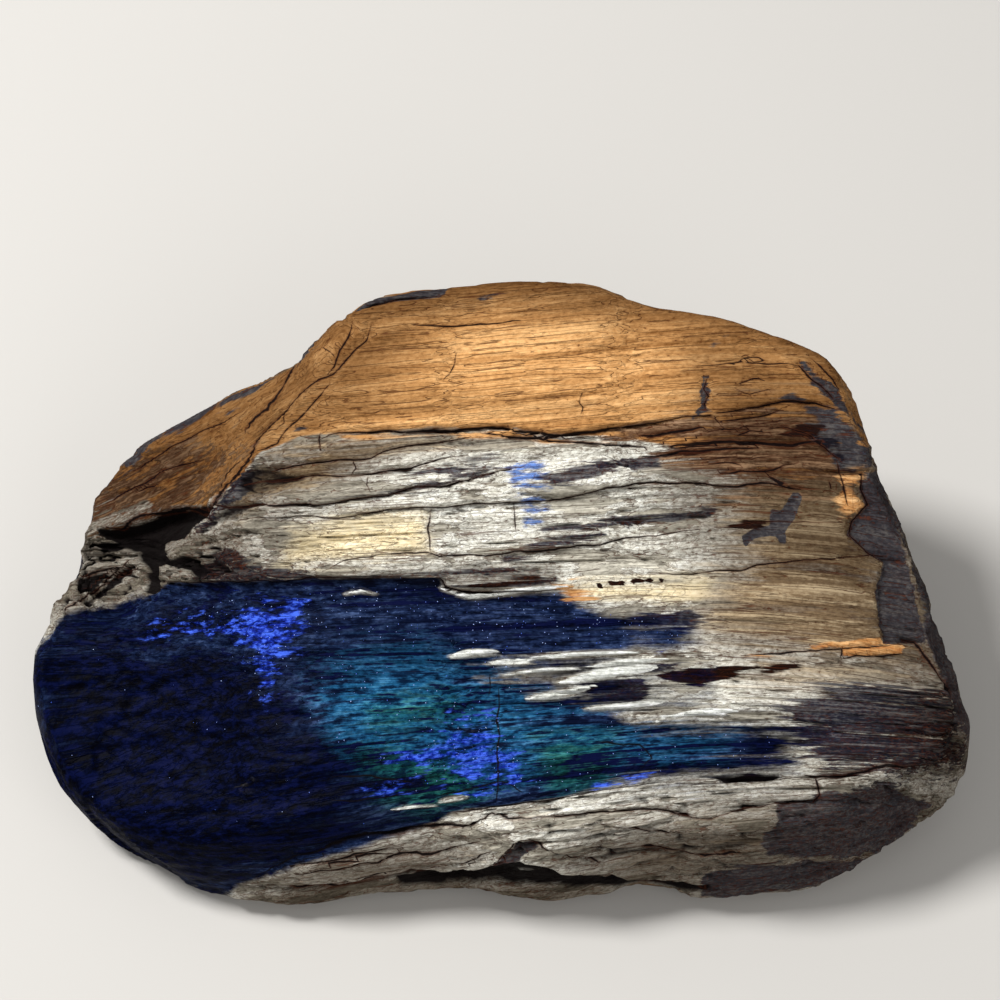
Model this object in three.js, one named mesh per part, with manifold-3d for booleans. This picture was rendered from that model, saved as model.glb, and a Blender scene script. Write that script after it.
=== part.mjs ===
// Rough petrified wood chunk: a wedge split from a fossil log, lying on its broken underside.
// Millimetres. +X runs along the grain, +Y towards the thick back edge, +Z up from the resting face.

import * as THREE from "three";
import { ImprovedNoise } from "three/addons/math/ImprovedNoise.js";
import { mergeVertices } from "three/addons/utils/BufferGeometryUtils.js";
import Module from "manifold-3d";

// The split face on top: a slope that rises from the thin front to the thick back.
const faceLevel = 36;
const faceSlope = 0.36;
const lobe = { drop: 11, from: -22, run: 50 }; // the left end sinks away towards its tip

// The rim is the chunk's widest outline seen from above, one point per bend: x, y and its height.
const rimPoints = [
  [-75, -3, 18], // left lobe
  [-70.5, 6.5, 20],
  [-68.5, 11, 22], // notch under the shoulder
  [-67, 21, 24],
  [-61, 29.5, 27], // shoulder
  [-46, 35, 34],
  [-34, 38.5, 39],
  [-28, 43, 44], // corner of the main block
  [-20, 45.5, 46],
  [-6, 47, 47],
  [7, 47.5, 47.5], // highest point of the back
  [18, 46.5, 47],
  [24, 44.5, 46], // dip in the back edge
  [36, 42.5, 45],
  [48, 39, 43],
  [55.5, 35, 39], // corner of the right end
  [60, 24, 35],
  [65, 13, 28],
  [71.5, -3, 18],
  [75, -14, 12],
  [74, -20, 10], // right tip
  [66, -28, 8],
  [53, -35, 6],
  [36, -38, 4.5], // front edge
  [22, -36.5, 4],
  [9, -38, 4],
  [-13, -36, 4],
  [-33, -38, 4],
  [-48, -36.5, 5],
  [-61, -31, 8],
  [-70.5, -21.5, 13],
];
const rimSamples = 112;

// How far in from the rim the worn edge rolls over to the face,
// and how far the base is set in below the rim.
const roll = { front: 17, back: 6, left: 26, right: 11 };
const undercut = { front: 4, back: -2, left: 12, right: 8 };
const rollCrest = 6; // the worn edge would crest this far above the face, which cuts it off

// Seams run along the grain. Each is a line across the face (y at the middle, its slope and its bow),
// where the face steps up by "step" and opens in a crack as deep as "crack", between its two ends.
const seams = [
  { y: -32.5, slope: 0.08, bow: 4, step: 0.9, crack: 1.2, from: -46, to: 66 }, // crack in the front rind
  { y: -26, slope: 0.06, bow: 3, step: -1.7, crack: 0.8, from: -12, to: 70 }, // front rind above the agate
  { y: -19, slope: 0.04, bow: 2, step: 0.5, crack: 0, from: 20, to: 72 },
  { y: -11.5, slope: 0.03, bow: 2, step: 0.9, crack: 0, from: -8, to: 60 }, // splinters in the agate
  { y: -4, slope: 0.02, bow: 1, step: 0.4, crack: 0.3, from: 28, to: 68 },
  { y: 2.4, slope: -0.015, bow: -1, step: 1.9, crack: 0.4, from: -62, to: 24 }, // back edge of the agate
  { y: 7.2, slope: 0.02, bow: -0.5, step: 0.4, crack: 1, from: -48, to: 66 },
  { y: 12.6, slope: 0.05, bow: 0.5, step: 0.8, crack: 0.5, from: -50, to: 44 },
  { y: 18, slope: 0.055, bow: 1, step: -0.6, crack: 0.9, from: -46, to: 58 },
  { y: 24.6, slope: 0.02, bow: 0.5, step: 1.5, crack: 1.6, from: -34, to: 58 }, // crack under the outer band
  { y: 33, slope: 0.02, bow: 1.5, step: -0.5, crack: 0.4, from: -26, to: 50 },
  { y: 39, slope: 0.01, bow: 3, step: -0.7, crack: 0.3, from: -18, to: 38 },
];
const seamHalfWidth = 0.5;
const seamFade = 9;
const seamWave = { height: 0.8, along: 13 };
const rowsBetweenSeams = 2;

// The shoulder: the corner that broke off along a diagonal, left of a line through two points.
// The drop starts just before the foot and is full a quarter of the way to the top.
const fracture = { top: [-24, 42], foot: [-56, 4], drop: 6.5, width: 5, start: -0.1, full: 0.25 };
// The hollow under the shoulder, where small bits broke out.
const hollow = { x: -61, y: 7, radius: 7, depth: 3.5 };

// Unevenness: long ripples along the grain on the face, ledges on the walls, soft lumps on the worn edge.
const ripple = { height: 0.9, along: 34, across: 4.5 };
const ledge = { relief: 1.8, height: 9, lip: 0.25, along: 26, wander: 2, fade: 0.2 };
const lump = { height: 1.6, size: 15 };

// The walls' grid: levels up to the rim, levels over the worn edge, and how far the prism passes the face.
const wall = { levels: 8, rollLevels: 8, lift: 12, undercutPower: 1.5 };

// The face's grid: how many steps along the grain, and how far it reaches past the outline.
const columns = 58;
const blockMargin = 6;
const mergeDistance = 1e-4;

const noise = new ImprovedNoise();
const smooth = (low, high, value) => THREE.MathUtils.smoothstep(value, low, high);

// Points along the rim, each with its plan position, its height and its direction outwards.
function sampleRim() {
  const points = rimPoints.map((p) => new THREE.Vector3(...p));
  const curve = new THREE.CatmullRomCurve3(points, true, "centripetal");
  return Array.from({ length: rimSamples }, (_, i) => {
    const at = i / rimSamples;
    const tangent = curve.getTangentAt(at);
    return { point: curve.getPointAt(at), out: new THREE.Vector2(-tangent.y, tangent.x).normalize() };
  });
}

// A value for each side of the chunk, mixed by which way the rim faces.
function bySide(out, side) {
  const alongY = out.y < 0 ? side.front : side.back;
  const alongX = out.x < 0 ? side.left : side.right;
  return alongY * out.y * out.y + alongX * out.x * out.x;
}

function nearestOnRim(rim, x, y) {
  let best = null;
  let bestDistance = Infinity;
  for (const sample of rim) {
    const distance = Math.hypot(sample.point.x - x, sample.point.y - y);
    if (distance < bestDistance) {
      bestDistance = distance;
      best = sample;
    }
  }
  return best;
}

const halfLength = Math.max(...rimPoints.map((p) => Math.abs(p[0])));

function seamLine(seam, x) {
  const share = x / halfLength;
  const wave = seamWave.height * noise.noise(x / seamWave.along, seam.y, 0);
  return seam.y + seam.slope * x - seam.bow * share * share + wave;
}

// Height of the split face, with its seams, its broken corner and its ripples.
function splitFace(x, y) {
  let z = faceLevel + faceSlope * y;
  z -= lobe.drop * smooth(0, 1, (lobe.from - x) / lobe.run);
  for (const seam of seams) {
    const fade = smooth(0, seamFade, x - seam.from) * smooth(0, seamFade, seam.to - x);
    const across = (y - seamLine(seam, x)) / seamHalfWidth;
    z += fade * (seam.step * smooth(-1, 1, across) - seam.crack * Math.max(0, 1 - Math.abs(across)));
  }
  const share = (y - fracture.foot[1]) / (fracture.top[1] - fracture.foot[1]);
  const fractureX = THREE.MathUtils.lerp(fracture.foot[0], fracture.top[0], share);
  const broken = smooth(fracture.start, fracture.full, share);
  z -= fracture.drop * broken * smooth(0, fracture.width, fractureX - x);
  z -= hollow.depth * (1 - smooth(0, hollow.radius, Math.hypot(x - hollow.x, y - hollow.y)));
  return z + ripple.height * noise.noise(x / ripple.along, y / ripple.across, 0);
}

// Rows follow the seams, so that each is a clean line: three rows at a seam and a few between.
function rowPlaces(x, front, back) {
  const rows = [front];
  const fillTo = (end) => {
    const start = rows[rows.length - 1];
    for (let i = 1; i <= rowsBetweenSeams; i++) {
      rows.push(THREE.MathUtils.lerp(start, end, i / rowsBetweenSeams));
    }
  };
  for (const seam of seams) {
    const line = seamLine(seam, x);
    fillTo(line - seamHalfWidth);
    rows.push(line, line + seamHalfWidth);
  }
  fillTo(back);
  return rows;
}

// A block whose top is the split face, wider than the outline on every side.
function stratifiedBlock() {
  const rows = seams.length * (rowsBetweenSeams + 2) + rowsBetweenSeams;
  const geometry = new THREE.BoxGeometry(1, 1, 1, columns, rows, 1);
  const front = Math.min(...rimPoints.map((p) => p[1])) - blockMargin;
  const back = Math.max(...rimPoints.map((p) => p[1])) + blockMargin;
  const position = geometry.getAttribute("position");
  for (let i = 0; i < position.count; i++) {
    const x = position.getX(i) * 2 * (halfLength + blockMargin);
    const row = Math.round((position.getY(i) + 0.5) * rows);
    const y = rowPlaces(x, front, back)[row];
    position.setXYZ(i, x, y, position.getZ(i) > 0 ? splitFace(x, y) : -blockMargin);
  }
  return geometry;
}

// Wall relief: ledges along the grain, like the lap of split layers, that wander up and down.
// Each leans out slowly over most of its height and turns back in over its lip.
function ledges(point, z) {
  const wander = noise.noise(point.x / ledge.along, point.y / ledge.along, 0);
  const lap = z / ledge.height + ledge.wander * wander;
  const rise = lap - Math.floor(lap);
  const lean = Math.min(rise / (1 - ledge.lip), (1 - rise) / ledge.lip);
  return ledge.relief * (lean - 0.5 + wander);
}

// One point of the walls: from the base out to the rim, over the worn edge and straight up past the face.
// The rim and the base keep their lines. Ledges lie between them, and soft lumps above the rim.
function wallPoint({ point, out }, level) {
  const width = bySide(out, roll);
  const crest = splitFace(point.x - out.x * width, point.y - out.y * width) + rollCrest;
  const below = Math.max(0, 1 - level / wall.levels);
  const turn = THREE.MathUtils.clamp((level - wall.levels) / wall.rollLevels, 0, 1) * (Math.PI / 2);
  const z = THREE.MathUtils.lerp(point.z * (1 - below), Math.max(point.z, crest), Math.sin(turn));
  const ledged = smooth(0, ledge.fade, below) * smooth(0, ledge.fade, 1 - below);
  const at = point.clone().setZ(z).divideScalar(lump.size);
  const lumps = lump.height * Math.sin(turn) * noise.noise(at.x, at.y, at.z);
  const setIn = bySide(out, undercut) * below ** wall.undercutPower + width * (1 - Math.cos(turn));
  const inset = setIn - ledged * ledges(point, z) - lumps;
  const lift = level > wall.levels + wall.rollLevels ? wall.lift : 0;
  return [point.x - out.x * inset, point.y - out.y * inset, z + lift];
}

// The outline pulled up into a worn, rounded prism that is taller than the face.
function outlinePrism(rim) {
  const outline = new THREE.Shape(rim.map(({ point }) => new THREE.Vector2(point.x, point.y)));
  const steps = wall.levels + wall.rollLevels + 1;
  const geometry = new THREE.ExtrudeGeometry(outline, { depth: 1, steps, bevelEnabled: false });
  const position = geometry.getAttribute("position");
  for (let i = 0; i < position.count; i++) {
    const sample = nearestOnRim(rim, position.getX(i), position.getY(i));
    position.setXYZ(i, ...wallPoint(sample, Math.round(position.getZ(i) * steps)));
  }
  return geometry;
}

function toSolid(wasm, geometry) {
  geometry.deleteAttribute("normal");
  geometry.deleteAttribute("uv");
  const merged = mergeVertices(geometry, mergeDistance);
  const vertProperties = merged.getAttribute("position").array;
  const triVerts = new Uint32Array(merged.index.array);
  return new wasm.Manifold(new wasm.Mesh({ numProp: 3, vertProperties, triVerts }));
}

function toGeometry(solid) {
  const { vertProperties, triVerts } = solid.getMesh();
  const geometry = new THREE.BufferGeometry();
  geometry.setAttribute("position", new THREE.BufferAttribute(vertProperties, 3));
  geometry.setIndex(new THREE.BufferAttribute(triVerts, 1));
  return geometry;
}

const wasm = await Module();
wasm.setup();

const rim = sampleRim();
const chunk = toSolid(wasm, stratifiedBlock()).intersect(toSolid(wasm, outlinePrism(rim)));
const geometry = toGeometry(chunk);

// The origin is under the middle of the chunk, on the surface that it lies on.
geometry.computeBoundingBox();
const middle = geometry.boundingBox.getCenter(new THREE.Vector3());
geometry.translate(-middle.x, -middle.y, -geometry.boundingBox.min.z);
geometry.computeVertexNormals();

const fossilWood = new THREE.MeshStandardMaterial({ color: 0xa98a63, roughness: 0.85, metalness: 0 });
const mesh = new THREE.Mesh(geometry, fossilWood);
mesh.name = "petrified_wood";

const part = new THREE.Group();
part.add(mesh);

export default part;
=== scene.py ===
import math

import bpy
import numpy as np
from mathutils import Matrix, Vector, noise
from mathutils.bvhtree import BVHTree


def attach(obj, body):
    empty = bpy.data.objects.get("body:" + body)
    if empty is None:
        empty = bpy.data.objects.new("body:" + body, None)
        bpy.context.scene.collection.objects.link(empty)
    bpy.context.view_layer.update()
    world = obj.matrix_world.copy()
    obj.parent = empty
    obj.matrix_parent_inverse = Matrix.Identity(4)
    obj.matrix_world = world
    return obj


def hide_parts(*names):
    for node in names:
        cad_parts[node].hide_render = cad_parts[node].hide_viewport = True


# A rough chunk of petrified wood: one dense skin over the solid, and quartz grains on its agate.
# Sizes are in mm and become metres when a mesh is made. +X is along the grain.

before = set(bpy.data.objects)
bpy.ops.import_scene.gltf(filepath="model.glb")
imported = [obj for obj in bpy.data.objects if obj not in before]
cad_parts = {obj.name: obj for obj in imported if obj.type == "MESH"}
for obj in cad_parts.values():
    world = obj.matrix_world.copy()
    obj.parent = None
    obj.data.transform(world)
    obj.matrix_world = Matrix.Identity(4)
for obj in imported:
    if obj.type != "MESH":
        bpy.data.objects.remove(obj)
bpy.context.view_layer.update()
mm = 0.001
noise.seed_set(5)  # the same flakes in every run

# the photo's viewpoint, which also places the marks on the face
view = {
    "aim": (0.0, 15.7, 29.1),
    "elevation": 60.0,  # degrees
    "distance": 600.0,
    "lens": 134.0,
    "sensor": 36.0,
    "pixels": 1000.0,  # across the photo
    "pixelSize": 0.1585,  # mm on the face
}
aim = np.array(view["aim"])
lookDown = math.radians(view["elevation"])
viewBack = np.array([0.0, -math.cos(lookDown), math.sin(lookDown)])
viewUp = np.array([0.0, math.sin(lookDown), math.cos(lookDown)])
eye = aim + viewBack * view["distance"]


def photoPlace(points):
    ray = points - eye
    scale = view["pixels"] * view["lens"] / view["sensor"] / -(ray @ viewBack)
    across = view["pixels"] / 2 + scale * ray[:, 0]
    down = view["pixels"] / 2 - scale * (ray @ viewUp)
    return np.stack([across, down], axis=1)


# how the layers run over the face: their slope at heights up the face, and a bend down to the right
grain = {
    "heights": [-62.0, -48.0, -38.0, -28.0, -10.0, 5.0, 12.0, 20.0, 32.0],
    "slopes": [0.17, 0.16, 0.09, 0.02, 0.03, 0.07, 0.085, 0.095, 0.09],
    "bendFrom": 22.0,
    "bend": 0.0022,
}


def grainPlace(points):  # along the grain, across the layers, and depth into the face
    along = points[:, 0]
    height = (points - aim) @ viewUp
    lean = np.interp(height, grain["heights"], grain["slopes"]) * along
    lean -= grain["bend"] * np.maximum(along - grain["bendFrom"], 0.0) ** 2
    return np.stack([along, height - lean, (points - aim) @ viewBack], axis=1)


seedShift = 7.31  # how far each seed moves a pattern in the noise
tiltShift = 9.7  # how far apart in the noise two neighbouring bits take their tilts
farAway = 1e9


def smooth(low, high, value):
    share = np.clip((value - low) / (high - low), 0.0, 1.0)
    return share * share * (3.0 - 2.0 * share)


def noiseAt(points, size, seed):
    scaled = points / np.array(size) + seedShift * seed
    return np.array([noise.noise(p) for p in scaled.tolist()])


def terraces(points, size, steps, riser, seed):  # noise cut into flat treads with short risers
    field = noiseAt(points, size, seed) * steps
    lap = np.floor(field)
    return (lap + smooth(1.0 - riser, 1.0, field - lap)) / steps


def splits(points, size, width, seed):  # long wandering lines, 1 on the line and 0 away from it
    return 1.0 - smooth(0.0, width, np.abs(noiseAt(points, size, seed)))


def shards(points, size, tilt):  # broken bits: how far inside its bit each point is, and the bit's tilted top
    inside = np.zeros(len(points))
    height = np.zeros(len(points))
    for spot, place in enumerate((points / np.array(size)).tolist()):
        distances, centres = noise.voronoi(place)
        inside[spot] = distances[1] - distances[0]
        facet = noise.noise_vector(centres[0] * tiltShift)
        height[spot] = facet.x + tilt * facet.dot(Vector(place) - centres[0])
    return inside, height


def blur(values, spread, axis, wrap):
    reach = int(3 * spread) + 1
    around = [(reach, reach) if a == axis else (0, 0) for a in range(values.ndim)]
    if wrap:
        padded = np.pad(values, around, mode="wrap")
    else:
        padded = np.pad(values, around, mode="reflect", reflect_type="odd")
    weights = np.exp(-0.5 * (np.arange(-reach, reach + 1) / spread) ** 2)
    size = values.shape[axis]
    total = sum(w * np.take(padded, np.arange(k, k + size), axis=axis) for k, w in enumerate(weights))
    return total / weights.sum()


def lineField(line, places):  # mm to a drawn line, mm above it on the page, and how far along it from 0 to 1
    points = np.array(line, float)
    starts = points[:-1]
    runs = np.diff(points, axis=0)
    lengths = np.hypot(runs[:, 0], runs[:, 1])
    begun = np.concatenate([[0.0], np.cumsum(lengths)])
    near = np.full(len(places), farAway)
    above = np.zeros(len(places))
    along = np.zeros(len(places))
    for start, run, length, done in zip(starts, runs, lengths, begun):
        offset = places - start
        share = np.clip(offset @ run / length**2, 0.0, 1.0)
        gap = offset - share[:, None] * run
        distance = np.hypot(gap[:, 0], gap[:, 1])
        closer = distance < near
        near[closer] = distance[closer]
        side = (run[1] * offset[:, 0] - run[0] * offset[:, 1]) / length
        above[closer] = side[closer]
        along[closer] = ((done + share * length) / begun[-1])[closer]
    return near * view["pixelSize"], above * view["pixelSize"], along


def patchField(outline, places):  # mm inside a drawn outline, less than 0 outside it
    closed = list(outline) + [outline[0]]
    near = lineField(closed, places)[0]
    inside = np.zeros(len(places), bool)
    for (x0, y0), (x1, y1) in zip(closed[:-1], closed[1:]):
        if y0 != y1:
            crosses = (y0 > places[:, 1]) != (y1 > places[:, 1])
            inside ^= crosses & (places[:, 0] < x0 + (places[:, 1] - y0) * (x1 - x0) / (y1 - y0))
    return np.where(inside, near, -near)


# the skin: rings round a spine along the grain; on the face each row keeps to one layer of the wood
stone = {
    "node": "petrified_wood",
    "columns": 212,
    "rows": 450,
    "rowGap": 0.34,
    "topLayer": 44.0,  # the layer that row 0 keeps to
    "anchorLayer": -30.0,
    "anchorMargin": 2.0,
    "steepest": 0.5,  # on steep parts the rows are at least this share of their gap apart
    "castAngles": 900,
    "tipGap": 0.7,
    "endCrowding": 0.5,  # share of the columns' spacing that tightens towards the ends
    "spine": [(-62.0, -8.0, 15.0), (-40.0, -4.0, 17.0), (-10.0, 0.0, 22.0), (30.0, -1.0, 22.0),
              (52.0, -6.0, 19.0), (66.0, -14.0, 15.0)],
    "smoothRows": 5.0,
    "smoothColumns": 2.5,
    "rim": (-0.35, 0.12),  # how far a place faces the camera, where the photo's marks fade in
    "coarse": (2.4, 1.1),  # mm between columns, where fine relief fades in
    "flatBase": (0.1, 2.5),  # mm above the ground, where relief fades in
    "flatTips": (-1.0, 7.0),  # columns from the tips, where relief fades in
    "crease": 48.0,  # degrees, past which an edge is left sharp
}


def castRings():
    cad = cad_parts[stone["node"]]
    corners = np.array([v.co for v in cad.data.vertices]) / mm
    faces = [p.vertices[:] for p in cad.data.polygons]
    solid = BVHTree.FromPolygons([Vector(c) for c in corners], faces)
    tips = [corners[corners[:, 0].argmin()], corners[corners[:, 0].argmax()]]
    spine = np.array([tips[0], *stone["spine"], tips[1]])
    t = np.linspace(-1.0, 1.0, stone["columns"])
    t = (1.0 - stone["endCrowding"]) * t + stone["endCrowding"] * np.sin(t * math.pi / 2)
    ringX = t * (tips[1][0] - stone["tipGap"])
    angles = np.linspace(0.0, 2 * math.pi, stone["castAngles"], endpoint=False)
    rays = [Vector((0.0, math.sin(a), -math.cos(a))) for a in angles]
    rings = np.zeros((stone["columns"], stone["rows"], 3))
    for column, x in enumerate(ringX):
        y, z = (np.interp(x, spine[:, 0], spine[:, axis]) for axis in (1, 2))
        centre = Vector((x, y, z))
        hits = [solid.ray_cast(centre, ray)[0] or centre for ray in rays]
        rings[column] = spreadRows(np.array(hits))
    return rings, tips


def spreadRows(hits):  # one ring's points, in rows that follow the layers on the face
    page = (hits - aim) @ viewUp
    hits = np.roll(hits, -page.argmax(), axis=0)  # starts at the back rim and runs down the face
    foot = ((hits - aim) @ viewUp).argmin()
    closed = np.vstack([hits, hits[:1]])
    lengths = np.linalg.norm(np.diff(closed, axis=0), axis=1)
    layer = grainPlace(hits[:foot + 1])[:, 1]
    drops = np.maximum(-np.diff(layer), stone["steepest"] * lengths[:foot])
    face = np.concatenate([[0.0], np.cumsum(drops)])
    lowest, highest = layer.min() + stone["anchorMargin"], layer.max() - stone["anchorMargin"]
    anchor = np.abs(layer - np.clip(stone["anchorLayer"], lowest, highest)).argmin()
    face += -layer[anchor] - face[anchor]
    whole = stone["rows"] * stone["rowGap"]
    hidden = np.cumsum(lengths[foot:])
    hidden = face[-1] + hidden / hidden[-1] * (face[0] + whole - face[-1])
    reached = np.concatenate([face, hidden])
    wanted = np.arange(stone["rows"]) * stone["rowGap"] - stone["topLayer"]
    wanted = face[0] + (wanted - face[0]) % whole
    return np.stack([np.interp(wanted, reached, closed[:, axis]) for axis in range(3)], axis=1)


def soften(grid):
    return blur(blur(grid, stone["smoothRows"], 1, True), stone["smoothColumns"], 0, False)


rings, tips = castRings()
softened = soften(rings)
rings = softened + soften(rings - softened)  # the second pass gives back what the first took off the edges
print("skin cast:", rings.shape)

around = np.roll(rings, -1, axis=1) - np.roll(rings, 1, axis=1)
alongGrain = np.gradient(rings, axis=0)
normals = np.cross(around, alongGrain)
normals /= np.linalg.norm(normals, axis=2, keepdims=True)
points = rings.reshape(-1, 3)
outward = normals.reshape(-1, 3)
places = photoPlace(points)
toEye = (eye - points) / np.linalg.norm(eye - points, axis=1, keepdims=True)
seen = smooth(*stone["rim"], (outward * toEye).sum(axis=1))
unseen = 1.0 - seen
fine = smooth(*stone["coarse"], np.linalg.norm(alongGrain, axis=2).ravel())

# the broken left shoulder, where the layers lie over at a slant
shoulder = {
    "outline": [(352, 328), (318, 372), (278, 415), (250, 448), (222, 485), (190, 520), (160, 552), (60, 545),
                (20, 480), (150, 360), (330, 270)],
    "slope": 0.42,
    "pivot": -30.0,
    "blend": 1.5,
    "edge": 1.0,
    "plainer": 0.8,  # share of the fine relief that is lost on it
}


def stoneGrain(where):
    coordinates = grainPlace(where)
    field = patchField(shoulder["outline"], photoPlace(where))
    slanted = smooth(-shoulder["blend"], shoulder["blend"], field)
    coordinates[:, 1] -= slanted * shoulder["slope"] * (where[:, 0] - shoulder["pivot"])
    return coordinates


layers = stoneGrain(points)

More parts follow.
